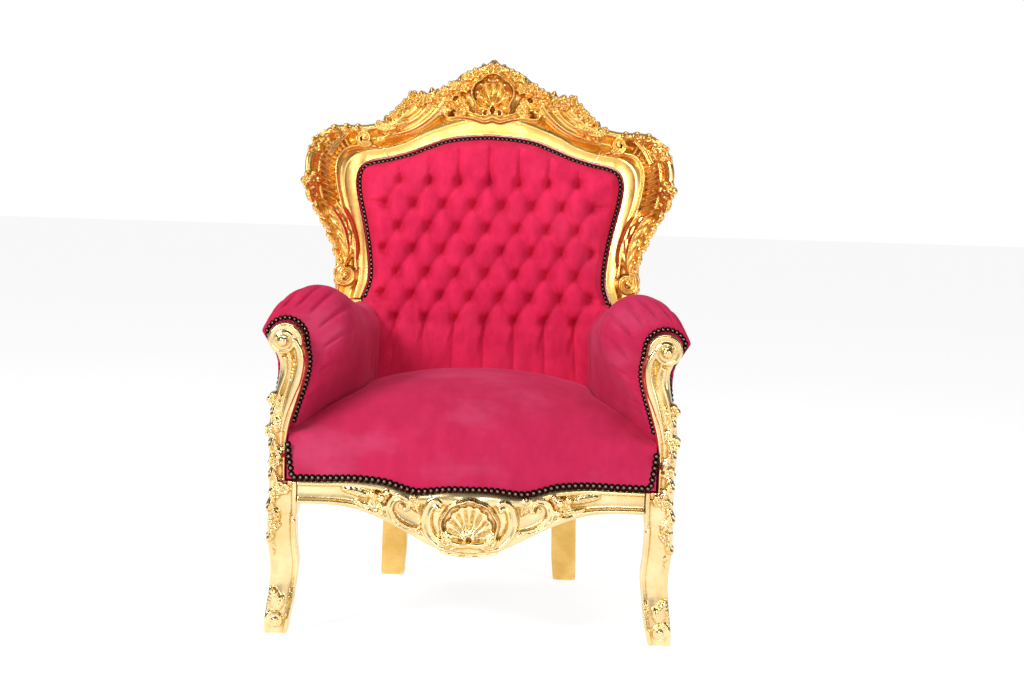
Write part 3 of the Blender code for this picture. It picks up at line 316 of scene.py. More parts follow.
# %% Gathering
class Carving:
    """The forms of one carved piece, gathered on the board."""

    def __init__(self):
        self.points, self.faces, self.count = [], [], 0

    def add(self, points, faces):
        self.faces += [tuple(i + self.count for i in face) for face in faces]
        self.points.append(points)
        self.count += len(points)

    def lay(self, form, path, half, rise, face=0.0, sunk=0.010):
        """Bends a form along a path of (x, z) points."""
        points, faces = form
        path = np.asarray(path, float)
        run = np.gradient(path, axis=0)
        run /= np.linalg.norm(run, axis=1)[:, None]
        across = np.stack([run[:, 1], -run[:, 0]], 1)
        where = np.clip(points[:, 0], 0, 1) * (len(path) - 1)
        steps = np.arange(len(path))

        def at(values):
            return np.interp(where, steps, np.broadcast_to(values, len(path)))

        width = at(half) * points[:, 1]
        x = at(path[:, 0]) + at(across[:, 0]) * width
        z = at(path[:, 1]) + at(across[:, 1]) * width
        height = points[:, 2]
        y = np.where(height >= 0, face - at(rise) * height, face - sunk * height)
        self.add(np.stack([x, y, z], 1), faces)

    def leaf(self, root, tip, width, rise, bend=0.0, lift=0.8, form=None, **more):
        """Lays a leaf from its root to its tip. It bends sideways by a share of its length."""
        root, tip = np.array(root, float), np.array(tip, float)
        run = tip - root
        share = np.linspace(0, 1, 9)
        side = np.array([run[1], -run[0]])
        path = root + share[:, None] * run + (4 * bend * share * (1 - share))[:, None] * side
        climb = rise * np.interp(share, (0, 0.3, 0.7, 1), (0.5, 0.85, 1, lift))
        self.lay(form or ACANTHUS, path, width / 2, climb, **more)

    def stamp(self, form, centre, radius, rise, face=0.0, sunk=0.010, turn=0.0, tall=1.0):
        """Stamps a round form at a place."""
        points, faces = form
        c, s = math.cos(turn), math.sin(turn)
        x = centre[0] + radius * (c * points[:, 0] - s * points[:, 1])
        z = centre[1] + radius * tall * (s * points[:, 0] + c * points[:, 1])
        y = np.where(points[:, 2] >= 0, face - rise * points[:, 2], face - sunk * points[:, 2])
        self.add(np.stack([x, y, z], 1), faces)

    def ball(self, centre, radius, face=0.0):
        """Stamps a ball that is let into the wood."""
        points, faces = BALL
        place = np.array([centre[0], face - 0.35 * radius, centre[1]])
        self.add(points * radius + place, faces)

    def mirror(self):
        """Adds the same forms on the other side."""
        points = np.vstack(self.points) * np.array([-1, 1, 1])
        self.add(points, [face[::-1] for face in self.faces])

    def warp(self, move):
        """Moves every point, as y = move(x, y, z)."""
        for points in self.points:
            points[:, 1] = move(points[:, 0], points[:, 1], points[:, 2])

    def object(self, name, side=1):
        points = np.vstack(self.points) * np.array([side, 1, 1]) - np.array([0, SHIFT, 0])
        mesh = bpy.data.meshes.new(name)
        mesh.from_pydata(points.tolist(), [], [face[::side] for face in self.faces])
        mesh.update()
        made = bpy.data.objects.new(name, mesh)
        bpy.context.scene.collection.objects.link(made)
        return made


deselect()
bpy.ops.mesh.primitive_ico_sphere_add(subdivisions=2, radius=1)
BALL = take_form(bpy.context.object)


def rings_form(rings):
    """The points and faces of a closed body through rings of as many points each."""
    rows, sides = len(rings), len(rings[0])
    faces = []
    for row in range(rows - 1):
        for i in range(sides):
            j = (i + 1) % sides
            faces.append((row * sides + i, row * sides + j, (row + 1) * sides + j, (row + 1) * sides + i))
    faces.append(tuple(range(sides))[::-1])
    faces.append(tuple(range((rows - 1) * sides, rows * sides)))
    return np.array(rings, float).reshape(-1, 3), faces


def moulded(inner, outer, profile, front, back):
    """A bar between two lines of (x, z) points. Its profile is shares of its width and of its depth."""
    rings = []
    for low, high, near, far in zip(inner, outer, front, back):
        rings.append([(low[0] + a * (high[0] - low[0]), near + b * (far - near), low[1] + a * (high[1] - low[1]))
                      for a, b in profile])
    return rings_form(rings)


def beside(path, halves):
    """The two lines that lie half a width to each side of a path of (x, z) points."""
    run = np.gradient(path, axis=0)
    run /= np.linalg.norm(run, axis=1)[:, None]
    across = np.stack([run[:, 1], -run[:, 0]], 1) * np.asarray(halves, float)[:, None]
    return path - across, path + across


# %% [markdown]
# ## From loose forms to one carved skin
#
# On the real chair the carving is cut from the plank, then covered with gesso and leaf, which rounds every inner
# corner. A voxel remesh does the same: it wraps one skin round all the forms that overlap. A little smoothing
# takes the steps out, and a decimate leaves fewer faces where the wood is plain. The depth of each point below its
# smoothed neighbourhood is kept as an attribute, so that the gilding can be painted dark in hollows, partly as
# glaze and partly as painted shade, and painted bright on edges as a painted highlight.

# %% Carved skins
def use_modifier(made, kind, **settings):
    """Adds a modifier and applies it."""
    deselect()
    made.select_set(True)
    bpy.context.view_layer.objects.active = made
    modifier = made.modifiers.new(kind.lower(), kind)
    for name, value in settings.items():
        setattr(modifier, name, value)
    bpy.ops.object.modifier_apply(modifier=modifier.name)


def points_of(mesh):
    points = np.empty(3 * len(mesh.vertices), np.float32)
    mesh.vertices.foreach_get("co", points)
    return points.reshape(-1, 3).astype(float)


def set_points(mesh, points):
    mesh.vertices.foreach_set("co", np.asarray(points, np.float32).ravel())
    mesh.update()


def neighbours(mesh):
    """A function that averages a value over each point's neighbours."""
    edges = np.empty(2 * len(mesh.edges), np.int32)
    mesh.edges.foreach_get("vertices", edges)
    a, b = edges.reshape(-1, 2).T
    size = len(mesh.vertices)
    count = np.maximum(np.bincount(a, minlength=size) + np.bincount(b, minlength=size), 1)

    def mean(values):
        total = [np.bincount(a, weights=v[b], minlength=size) + np.bincount(b, weights=v[a], minlength=size)
                 for v in values.T]
        return np.stack(total, 1) / count[:, None]
    return mean


def mark_hollows(made, near=5, far=24, scale=0.0022):
    """Stores how deep each point lies in a hollow: 0.5 on the flat, to 1 in a groove and 0 on an edge."""
    mesh = made.data
    normals = np.empty(3 * len(mesh.vertices), np.float32)
    mesh.vertex_normals.foreach_get("vector", normals)
    normals = normals.reshape(-1, 3)
    mean, here = neighbours(mesh), points_of(mesh)
    blurred, depth = here, 0
    for step in range(1, far + 1):
        blurred = 0.5 * blurred + 0.5 * mean(blurred)
        if step in (near, far):
            lift = ((blurred - here) * normals).sum(1)
            depth = depth + 0.5 * np.tanh(lift / (scale * (0.45 if step == near else 1.0)))
    field = mesh.attributes.new("hollow", "FLOAT", "POINT")
    field.data.foreach_set("value", (0.5 + 0.5 * depth).astype(np.float32))


def carved(carving, name, side=1, keep=0.55, voxel=VOXEL):
    """One skin over a carving."""
    made = carving.object(name, side)
    use_modifier(made, "REMESH", mode="VOXEL", voxel_size=voxel, use_smooth_shade=True)
    use_modifier(made, "SMOOTH", factor=0.5, iterations=2)
    triangles = sum(len(face.vertices) - 2 for face in made.data.polygons)
    use_modifier(made, "DECIMATE", ratio=min(keep, MOST_TRIANGLES / triangles))
    made.data.shade_smooth()
    mark_hollows(made)
    print(name, len(made.data.polygons), "faces")
    return made


def other_side(made, name):
    """A mirrored copy with its own mesh."""
    twin = bpy.data.objects.new(name, made.data.copy())
    bpy.context.scene.collection.objects.link(twin)
    set_points(twin.data, points_of(twin.data) * np.array([-1, 1, 1]))
    twin.data.flip_normals()
    return twin


# %% [markdown]
# ## The back's moulding
#
# The back has two outlines: the padded panel's edge and the carved outer edge. The moulding runs between them. It
# has a flat for the nails, a fine bead, a deep cove and a rolled rim. It is drawn as sections at stations along
# both outlines, so that the same stations also place every leaf and flower.

# %% The back's outlines and sections
PAD_EDGE = ((0.935, 0.00), (0.886, 0.13), (0.905, 0.31), (0.945, 0.47), (0.985, 0.605), (1.0, 0.715),
            (0.972, 0.790), (0.892, 0.828), (0.764, 0.850), (0.615, 0.884), (0.47, 0.930), (0.325, 0.972),
            (0.165, 0.992), (0.0, 1.0))
FRAME_EDGE = ((0.835, 0.00), (0.835, 0.105), (0.842, 0.195), (0.900, 0.300), (0.965, 0.395), (1.0, 0.515),
              (0.978, 0.625), (0.880, 0.700), (0.690, 0.712), (0.545, 0.745), (0.440, 0.815), (0.290, 0.868),
              (0.135, 0.945), (0.0, 0.985))
CORNER_STATION, JOINT_STATION = 6.0, 8.0
LAST = len(PAD_EDGE) - 1
FINE = 8
PAD_LINE = smooth_line([(HALF_PAD * x, FRAME_LOW + (PAD_TOP - FRAME_LOW) * z) for x, z in PAD_EDGE], FINE)
FRAME_LINE = smooth_line([(HALF_WING * x, FRAME_LOW + (CREST_TOP - FRAME_LOW) * z) for x, z in FRAME_EDGE], FINE)
FRAME_SECTION = smooth_line(((0.0, -0.003), (0.10, -0.004), (0.20, -0.006), (0.25, -0.0075),
                             (0.30, -0.006), (0.37, -0.001), (0.47, 0.0055), (0.62, 0.008), (0.74, -0.004),
                             (0.84, -0.016), (0.93, -0.018), (0.99, -0.008), (1.0, 0.010), (0.985, 0.024),
                             (0.95, 0.85 * FRAME_THICK), (0.0, FRAME_THICK)), 3)


def frame_point(station, across):
    """A place on the frame: how far along its stations, and how far from the pad's edge to the outer edge."""
    return along(PAD_LINE, station / LAST) * (1 - across) + along(FRAME_LINE, station / LAST) * across


def frame_path(places, steps=6):
    """A smooth path through (station, across) places."""
    return smooth_line([frame_point(t, a) for t, a in places], steps)


def frame_ring(station, half=1):
    return [(half * frame_point(station, a)[0], y, frame_point(station, a)[1]) for a, y in FRAME_SECTION]


def onto_back(x, y, z):
    return y + back_face(z) - flare(x, z)


print("back outline from", PAD_LINE[0].round(3), "to", PAD_LINE[-1].round(3))

# %% [markdown]
# ## The crest
#
# Over a smooth cove stands a gable that is packed with small flowers round a hollow scallop with a scalloped rim.
# At each shoulder long smooth plumes sweep up from the cove and end under a spray of flowers.

# %% Crest rail
def flower_field(carving, places, sizes, seed, face=-0.004, rise=0.016):
    """Small flowers, with a leaf in place of every third one."""
    random = np.random.default_rng(seed)
    faces = np.broadcast_to(face, len(places))
    for number, (place, size, face) in enumerate(zip(places, sizes, faces)):
        turn = random.uniform(0, 2 * math.pi)
        height = rise * random.uniform(0.85, 1.1)
        if number % 3 < 2:
            carving.stamp((FIVE_PETALS, SIX_PETALS)[number % 3], place, size, height, face=face, turn=turn)
            carving.ball(place, 0.20 * size, face=face - 0.80 * height)
        else:
            way = np.array([math.cos(turn), math.sin(turn)])
            root, tip = place - 0.9 * size * way, place + 1.2 * size * way
            carving.leaf(root, tip, 1.4 * size, height, form=LEAFLET, face=face)


def crest_rail():
    # The crest runs on a little over the joint, so that no crack shows in the gilding
    stations = np.linspace(JOINT_STATION - 0.03, LAST, 41)
    wood = rings_form([frame_ring(t) for t in stations] + [frame_ring(t, -1) for t in stations[::-1][1:]])
    work = Carving()
    hinge = np.array([0.0, 1.086])
    # The gable's filling, in rows from its outline inwards, clear of the shell
    places, sizes, faces = [], [], []
    for row, across in enumerate((0.945, 0.77, 0.60, 0.46)):
        for t in np.arange(10.25 + 0.13 * row, LAST + 0.01, 0.29):
            place = frame_point(t, across) + (0, -0.002 * (row == 0))
            away = np.hypot(place[0] / 0.058, (place[1] - 1.118) / 0.056)
            if away > 1 and place[1] > 1.072:
                places.append(place)
                sizes.append(0.0140 if row == 0 else 0.0125)
                faces.append((-0.014, -0.006, -0.001, -0.001)[row])
    flower_field(work, places, sizes, RANDOM_SEED, face=faces, rise=0.017)
    # Plumes at the shoulder, from the longest beside the gable to the shortest
    plumes = (((0.252, 1.013), (0.196, 1.028), (0.158, 1.050), (0.128, 1.080), (0.113, 1.108), (0.117, 1.134)),
              ((0.262, 1.021), (0.214, 1.039), (0.178, 1.057), (0.153, 1.082), (0.141, 1.106), (0.143, 1.130)),
              ((0.272, 1.030), (0.232, 1.049), (0.196, 1.064), (0.172, 1.086), (0.164, 1.108), (0.168, 1.122)))
    for number, points in enumerate(plumes):
        path = smooth_line(points, 5)
        share = np.linspace(0, 1, len(path))
        width = 0.0138 * np.interp(share, (0, 0.35, 0.8, 1), (0.40, 0.95, 1.1, 0.8))
        work.lay(PLUME, path, width, 0.021 * np.interp(share, (0, 0.4, 1), (0.35, 0.85, 1.2)), face=0.000)
    spray = [(0.186, 1.110), (0.200, 1.092), (0.188, 1.088), (0.214, 1.077), (0.229, 1.063), (0.245, 1.050),
             (0.262, 1.042)]
    spray_sizes = [0.0135, 0.0135, 0.012, 0.013, 0.0125, 0.0115, 0.010]
    flower_field(work, np.array(spray), spray_sizes, RANDOM_SEED + 1, face=-0.008, rise=0.017)
    # Leaves run down from the shoulder to the joint
    for t in (8.25, 8.75):
        work.leaf(frame_point(t + 0.75, 0.72), frame_point(t, 0.84), 0.022, 0.017, bend=0.10, face=-0.006)
    # The thin scroll that carries the gable, and the small scrolls under the shell
    rail = smooth_line(((0.0, 1.0585), (0.018, 1.054), (0.045, 1.061), (0.075, 1.0645), (0.098, 1.062), (0.111, 1.070),
                        (0.109, 1.083), (0.099, 1.087)), 6)
    work.lay(ROLL, rail, 0.0042, 0.013)
    work.ball((0.101, 1.080), 0.0075, face=-0.008)
    work.lay(ROLL, spiral((0.0155, 1.0735), 0.0115, 1.2, start=200, way=-1), 0.0038, 0.018, face=-0.002)
    work.lay(ROLL, smooth_line(((0.020, 1.066), (0.042, 1.072), (0.056, 1.078)), 5), 0.004, 0.015)
    work.leaf((0.060, 1.072), (0.092, 1.075), 0.016, 0.014, form=LEAFLET, bend=0.1)
    work.mirror()
    # The shell and its thin scalloped rim, with a pearl in each scallop
    work.stamp(CREST_SHELL, hinge, 0.042, 0.024, face=0.002, tall=1.55)
    middle = np.array([0.0, 1.117])
    turn = np.radians(np.linspace(-42, 222, 130))
    wave = 3.5 / math.radians(132) * math.pi * (turn - math.pi / 2) / 2 + math.pi / 2
    scallop = 0.0435 * (1 + 0.14 * np.abs(np.sin(wave)))
    rim = middle + np.stack([scallop * np.cos(turn), scallop * np.sin(turn)], 1)
    work.lay(ROLL, rim, 0.0033, 0.032, face=0.002)
    for angle in np.radians(np.linspace(8, 172, 6)):
        work.ball(middle + 0.0355 * np.array([math.cos(angle), math.sin(angle)]), 0.0046, face=-0.018)
    work.leaf((0, 1.160), (0, 1.199), 0.034, 0.027)
    for x in (-0.016, 0.016):
        work.leaf((0.4 * x, 1.162), (1.6 * x, 1.190), 0.020, 0.025, bend=0.1 * np.sign(x), form=LEAFLET)
    work.add(*wood)
    work.warp(onto_back)
    return carved(work, "crest_rail_carving", keep=0.72, voxel=FINE_VOXEL)


crest = crest_rail()

# %% [markdown]
# ## The wings and the back legs
#
# Each back leg, its stile and its wing are one carved piece. The wing turns forward round a deep cove that is
# filled with a comb of ridges. Its rim carries flowers, a rosette and long acanthus leaves, and ends in a scroll
# over the arm and a second one beside the crest.

# %% Stiles and wings
SQUARE_BAR = ((0, 0.12), (0.03, 0.03), (0.12, 0), (0.88, 0), (0.97, 0.03), (1, 0.12), (1, 0.88), (0.97, 0.97),
              (0.88, 1), (0.12, 1), (0.03, 0.97), (0, 0.88))


def stile_face(z):
    """The front of the back leg at this height."""
    kick = 0.045 * smoothstep(1 - z / RAIL_LOW) if z < RAIL_LOW else 0
    return back_face(max(z, RAIL_TOP)) + 0.004 + kick


def stile_post():
    shoulder = frame_point(0.8, 0.42)[0]
    points = [(0.200, 0), (0.196, 0.33 * RAIL_LOW), (0.198, 0.66 * RAIL_LOW), (HIP - 0.006, RAIL_LOW),
              (HIP, RAIL_TOP), (0.5 * (HIP + shoulder), 0.5 * (RAIL_TOP + FRAME_LOW)), (shoulder, FRAME_LOW),
              (shoulder + 0.002, FRAME_LOW + 0.06)]
    path = smooth_line(points, 8)
    path[0, 1] = 0
    z = path[:, 1]
    half = np.interp(z, (0, 0.2 * RAIL_LOW, RAIL_TOP, FRAME_LOW), REAR_LEG_HALF * np.array([0.92, 1, 1, 0.75]))
    deep = np.interp(z, (0, RAIL_TOP, FRAME_LOW), (0.054, 0.054, 0.8 * FRAME_THICK))
    front = np.array([stile_face(level) for level in z])
    across = np.stack([half, 0 * half], 1)
    return moulded(path - across, path + across, SQUARE_BAR, front, front + deep)


def back_stile():
    work = Carving()
    half_gap = 0.8 * GAP / np.linalg.norm(frame_point(JOINT_STATION + 0.5, 0) - frame_point(JOINT_STATION - 0.5, 0))
    stations = np.linspace(0, JOINT_STATION, 65)
    stations[-1] -= half_gap
    work.add(*rings_form([frame_ring(t) for t in stations]))
    # A raised line between the cove and the rim, and one beside the flat
    work.lay(ROLL, frame_path([(t, 0.74) for t in np.arange(1.6, 7.1, 0.5)], 4), 0.0030, 0.006, face=-0.006)
    work.lay(ROLL, frame_path(((1.2, 0.34), (2.5, 0.36), (4.0, 0.38), (5.4, 0.42), (6.4, 0.46), (7.1, 0.42),
                               (7.8, 0.34)), 8), 0.0038, 0.010, face=-0.006)
    # The comb in the cove
    for t in np.arange(3.5, 7.01, 0.235):
        work.lay(ROLL, frame_path(((t, 0.46), (t + 0.10, 0.58), (t + 0.26, 0.73)), 5), 0.0042,
                 np.linspace(0.006, 0.016, 11), face=0.004)
    # Scroll over the arm, with the long leaf that grows out of it
    heart = frame_point(0.98, 0.66)
    work.lay(BAND, spiral(heart, 0.025, 1.35, start=75, way=-1, core=0.22), 0.0082, 0.026, sunk=0.020)
    work.stamp(EIGHT_PETALS, heart, 0.012, 0.022, sunk=0.020)
    work.ball(heart, 0.008, face=-0.020)
    work.ball(heart + (0.019, -0.016), 0.011, face=0.006)
    stem = frame_path(((1.25, 0.72), (1.9, 0.58), (2.7, 0.52), (3.5, 0.60), (4.1, 0.80)), 7)
    share = np.linspace(0, 1, len(stem))
    work.lay(ACANTHUS, stem, 0.019 * np.interp(share, (0, 0.3, 0.7, 1), (0.6, 1, 1, 0.6)),
             0.026 * np.interp(share, (0, 0.5, 1), (0.5, 0.9, 1)), face=-0.002)
    for t0, a0, t1, a1, width in ((1.45, 0.80, 2.15, 1.00, 0.022), (1.95, 0.82, 2.75, 1.01, 0.024),
                                  (2.55, 0.82, 3.30, 1.01, 0.024), (3.1, 0.84, 3.85, 1.02, 0.024)):
        work.leaf(frame_point(t0, a0), frame_point(t1, a1), width, 0.020, bend=-0.06, form=LEAFLET, face=-0.004)
    work.lay(PLUME, frame_path(((1.3, 0.40), (2.2, 0.32), (3.2, 0.36), (3.9, 0.48)), 7), 0.0085, 0.014, face=-0.003)
    # The rim: rosette, flower chain, and leaves between
    rosette = frame_point(4.72, 0.90)
    work.stamp(SIX_PETALS, rosette, 0.024, 0.024, face=-0.010)
    work.stamp(FIVE_PETALS, rosette, 0.012, 0.010, face=-0.028, turn=0.6)
    work.ball(rosette, 0.0055, face=-0.036)
    chain = [(4.20, 0.92), (5.86, 0.93), (6.08, 0.85), (6.26, 0.94), (6.46, 0.86), (6.66, 0.94)]
    flower_field(work, np.array([frame_point(t, a) for t, a in chain]),
                 (0.0120, 0.0135, 0.0130, 0.0145, 0.0135, 0.0140), RANDOM_SEED + 2, face=-0.010, rise=0.015)
    # Between the rosette and the corner the rim is one smooth roll
    roll = frame_path(((4.95, 0.90), (5.25, 0.915), (5.55, 0.915), (5.85, 0.90)), 7)
    work.lay(ROLL, roll, 0.0125, 0.016, face=-0.006)
    work.leaf(frame_point(4.55, 0.97), frame_point(3.95, 0.99), 0.024, 0.018, face=-0.010)
    for t in (6.9, 7.25, 7.55):
        root, tip = frame_point(t, 0.72), frame_point(t + 0.12, 1.03)
        work.leaf(root, tip, 0.024, 0.020, bend=-0.12, form=LEAFLET, face=-0.006)
    # The scroll that ends the wing beside the crest
    ear = frame_point(7.62, 0.62)
    work.lay(BAND, spiral(ear, 0.019, 1.25, start=215, core=0.25), 0.0062, 0.027, sunk=0.020)
    work.ball(ear, 0.0062, face=-0.020)
    work.lay(BAND, frame_path(((5.9, 0.62), (6.6, 0.66), (7.15, 0.76), (7.55, 0.90)), 7), 0.0075, 0.017, face=-0.002)
    work.warp(onto_back)
    work.add(*stile_post())
    return carved(work, "back_stile_carving_right", keep=0.78, voxel=FINE_VOXEL)


stile_right = back_stile()
stile_left = other_side(stile_right, "back_stile_carving_left")

# %% [markdown]
# ## The front legs and arm posts
#
# A cabriole leg with a leaf and a scroll at its foot, a square knee block and an S-shaped post that ends in a
# scroll are cut from one piece. A smooth band runs from the scroll down the post's inner edge, and a garland of
# flowers and leaves hangs down the outer corner to below the knee.

# %% Front legs
LEG_STATIONS = ((0.000, -0.021, 0.023, -0.47, 0.34), (0.012, -0.025, 0.024, -0.53, 0.31),
                (0.030, -0.028, 0.023, -0.55, 0.28), (0.062, -0.034, 0.019, -0.47, 0.20),
                (0.100, -0.038, 0.015, -0.36, 0.23), (0.140, -0.042, 0.014, -0.36, 0.33),
                (0.185, -0.038, 0.018, -0.47, 0.42), (0.235, -0.036, 0.020, -0.56, 0.44))
LEG_SECTION = smooth_line(((0, 0.14), (0.03, 0.02), (0.10, 0.0), (0.17, 0.02), (0.22, 0.11), (0.5, 0.07),
                           (0.76, 0.09), (0.83, 0.02), (0.90, 0), (0.97, 0.02), (1, 0.14), (1, 0.86), (0.97, 0.97),
                           (0.88, 1), (0.12, 1), (0.03, 0.97), (0, 0.86)), 3)
POST_STATIONS = ((0.002, 0.00, 0.0165), (0.004, 0.26, 0.0195), (0.000, 0.42, 0.0225), (-0.011, 0.58, 0.0245),
                 (-0.021, 0.72, 0.0265), (-0.0245, 0.85, 0.0285), (-0.0130, 0.98, 0.0300))
POST_SECTION = smooth_line(((0, 0.38), (0.02, 0.12), (0.07, 0.01), (0.14, 0.0), (0.20, 0.07), (0.27, 0.17),
                            (0.44, 0.15), (0.53, 0.02), (0.60, 0.0), (0.68, 0.09), (0.80, 0.14), (0.92, 0.16),
                            (1, 0.42), (1, 0.88), (0.96, 0.97), (0.88, 1), (0.12, 1), (0.04, 0.97), (0, 0.88)), 3)
POST_BACK = 0.020
POST_FRONT = POST_BACK - POST_DEPTH
SCROLL_HEART = np.array([HALF_FOOT - 0.005, SCROLL_HEIGHT])
ARM_SCROLL_RADIUS = 0.041


def post_line(steps=6):
    climb = SCROLL_HEIGHT - RAIL_TOP
    return smooth_line([(HALF_FOOT + x, RAIL_TOP + climb * z, half) for x, z, half in POST_STATIONS], steps)


def front_leg():
    work = Carving()
    knee = [(z, BLOCK_INNER - HALF_FOOT, BLOCK_OUTER - HALF_FOOT, -0.56, 0.44)
            for z in (RAIL_LOW - 0.02, RAIL_LOW + 0.01, RAIL_TOP - 0.004)]
    lines = smooth_line([*LEG_STATIONS, *knee], 6)
    lines[0, 0] = 0
    inner = np.stack([HALF_FOOT + lines[:, 1], lines[:, 0]], 1)
    outer = np.stack([HALF_FOOT + lines[:, 2], lines[:, 0]], 1)
    work.add(*moulded(inner, outer, LEG_SECTION, LEG_DEPTH * lines[:, 3], LEG_DEPTH * lines[:, 4]))
    post = post_line()
    post[0, 1] -= 0.02
    inner, outer = beside(post[:, :2], post[:, 2])
    count = len(post)
    work.add(*moulded(inner, outer, POST_SECTION, np.full(count, POST_FRONT), np.full(count, POST_BACK)))
    # The scroll that ends the arm: a broad band that winds in round a button
    deep = POST_DEPTH - 0.006
    coil = spiral(SCROLL_HEART, ARM_SCROLL_RADIUS - 0.0125, 1.5, start=205, way=-1, core=0.34, steps=26)
    share = np.linspace(0, 1, len(coil))
    work.lay(BAND, coil, 0.0125 * (1 - 0.35 * share), 0.006 + 0.005 * share, face=POST_FRONT + 0.003, sunk=deep)
    work.stamp(EIGHT_PETALS, SCROLL_HEART, 0.020, 0.001, face=POST_FRONT + 0.004, sunk=deep - 0.002)
    work.ball(SCROLL_HEART, 0.0125, face=POST_FRONT - 0.004)
    # The bright band that leaves the scroll and widens down the post
    sweep = smooth_line(((0.362, 0.600), (0.349, 0.570), (0.353, 0.530), (0.366, 0.490), (0.378, 0.450),
                         (0.384, 0.415)), 6)
    share = np.linspace(0, 1, len(sweep))
    work.lay(ROLL, sweep, 0.0095 * np.interp(share, (0, 0.5, 1), (0.7, 1.1, 0.35)), 0.008, face=POST_FRONT + 0.001)
    sweep = smooth_line(((0.380, 0.566), (0.378, 0.535), (0.390, 0.495), (0.398, 0.455)), 6)
    work.lay(ROLL, sweep, 0.0055 * np.linspace(1, 0.4, len(sweep)), 0.008, face=POST_FRONT + 0.002)
    # Beads down both edges of the front face
    for edge, reach in ((0.045, 0.0034), (0.955, 0.0030)):
        line = [(HALF_FOOT + low + edge * (high - low), z) for z, low, high, _, _ in LEG_STATIONS[2:]]
        depth = [LEG_DEPTH * near + 0.002 for _, _, _, near, _ in LEG_STATIONS[2:]]
        path = smooth_line([(*p, d) for p, d in zip(line, depth)], 6)
        work.lay(ROLL, path[:, :2], reach, 0.005, face=0, sunk=0.006)
        added = work.points[-1]
        added[:, 1] += np.interp(added[:, 2], path[:, 1], path[:, 2])
    # The garland down the outer corner
    garland = smooth_line(((0.395, 0.478), (0.401, 0.440), (0.399, 0.400), (0.396, 0.360), (0.395, 0.320),
                           (0.396, 0.280), (0.397, 0.240), (0.396, 0.205)), 5)
    spots = even_points(garland, count=14)
    for number, spot in enumerate(spots):
        levels, depths = (0.19, 0.235, 0.30, 0.34, 0.48), (-0.026, LEG_FRONT, LEG_FRONT, -0.030, -0.028)
        face = np.interp(spot[1], levels, depths) + 0.004
        sway = 0.005 * math.cos(1.9 * number)
        centre = spot + (sway, 0)
        size = 0.0165 - 0.0003 * number
        if number % 3 == 0:
            work.stamp(FIVE_PETALS, centre, size, 0.014, face=face, sunk=0.014, turn=number)
            work.ball(centre, 0.0032, face=face - 0.011)
        elif number % 3 == 1:
            work.leaf(centre + (-0.003, 0.015), centre + (0.007, -0.018), 0.021, 0.014, form=LEAFLET, face=face,
                      sunk=0.014)
        else:
            work.leaf(centre + (0.003, 0.014), centre + (-0.009, -0.015), 0.019, 0.013, form=LEAFLET, face=face,
                      sunk=0.014)
    work.leaf((HALF_FOOT + 0.012, 0.200), (HALF_FOOT + 0.008, 0.160), 0.015, 0.009, form=LEAFLET, face=-0.022,
              sunk=0.014)
    # The knee block: a small flower under the rail's end
    work.stamp(SIX_PETALS, (HALF_FOOT - 0.012, 0.298), 0.013, 0.008, face=LEG_FRONT + 0.004)
    # The foot: a leaf above a scroll that holds a ball
    low = np.array([HALF_FOOT + 0.001, 0.030])
    work.lay(BAND, spiral(low, 0.0165, 1.15, start=70, way=-1, core=0.42), 0.0052, 0.010, face=LEG_FRONT + 0.004)
    work.ball(low, 0.0082, face=LEG_FRONT + 0.001)
    work.leaf((HALF_FOOT + 0.004, 0.044), (HALF_FOOT + 0.010, 0.094), 0.024, 0.011, bend=-0.08, face=LEG_FRONT + 0.008,
              sunk=0.012)
    work.leaf((HALF_FOOT - 0.004, 0.046), (HALF_FOOT - 0.014, 0.078), 0.015, 0.009, form=LEAFLET,
              face=LEG_FRONT + 0.008, sunk=0.012)
    return carved(work, "front_leg_carving_right", keep=0.85)


leg_right = front_leg()
leg_left = other_side(leg_right, "front_leg_carving_left")

# %% [markdown]
# ## The front rail
#
# The rail bows forward and drops to a scallop at its middle. The scallop sits in two broad C scrolls. Towards the
# legs come a curled scroll, berries, flowers and a leaf, and then plain wood between two fine beads.

# %% Front rail
APRON_EDGE = ((1.0, 0.34), (0.84, 0.34), (0.70, 0.37), (0.57, 0.46), (0.45, 0.58), (0.35, 0.70), (0.22, 0.86),
              (0.10, 0.97), (0.0, 1.0))
APRON_DROP, APRON_FACE = 0.142, -0.036
APRON_SECTION = smooth_line(((0.0, 0.12), (0.0, 0.0), (0.06, -0.16), (0.13, -0.22), (0.20, -0.18), (0.27, -0.02),
                             (0.50, 0.02), (0.74, -0.02), (0.80, -0.14), (0.87, -0.21), (0.94, -0.18), (1.0, -0.02),
                             (1.0, 0.5), (1.0, 0.96), (0.96, 1.0), (0.04, 1.0), (0.0, 0.96)), 3)


# How far the rail's top edge and the velvet on it dip, from the middle outwards
EDGE_DIP = np.array(((0.0, 0.009), (0.045, 0.010), (0.09, 0.016), (0.115, 0.0165), (0.145, 0.009), (0.175, 0.001),
                     (0.235, -0.003), (0.30, -0.001), (0.40, 0.0)))


def edge_dip(x):
    return np.interp(np.abs(x), smooth_line(EDGE_DIP, 4)[:, 0], smooth_line(EDGE_DIP, 4)[:, 1])


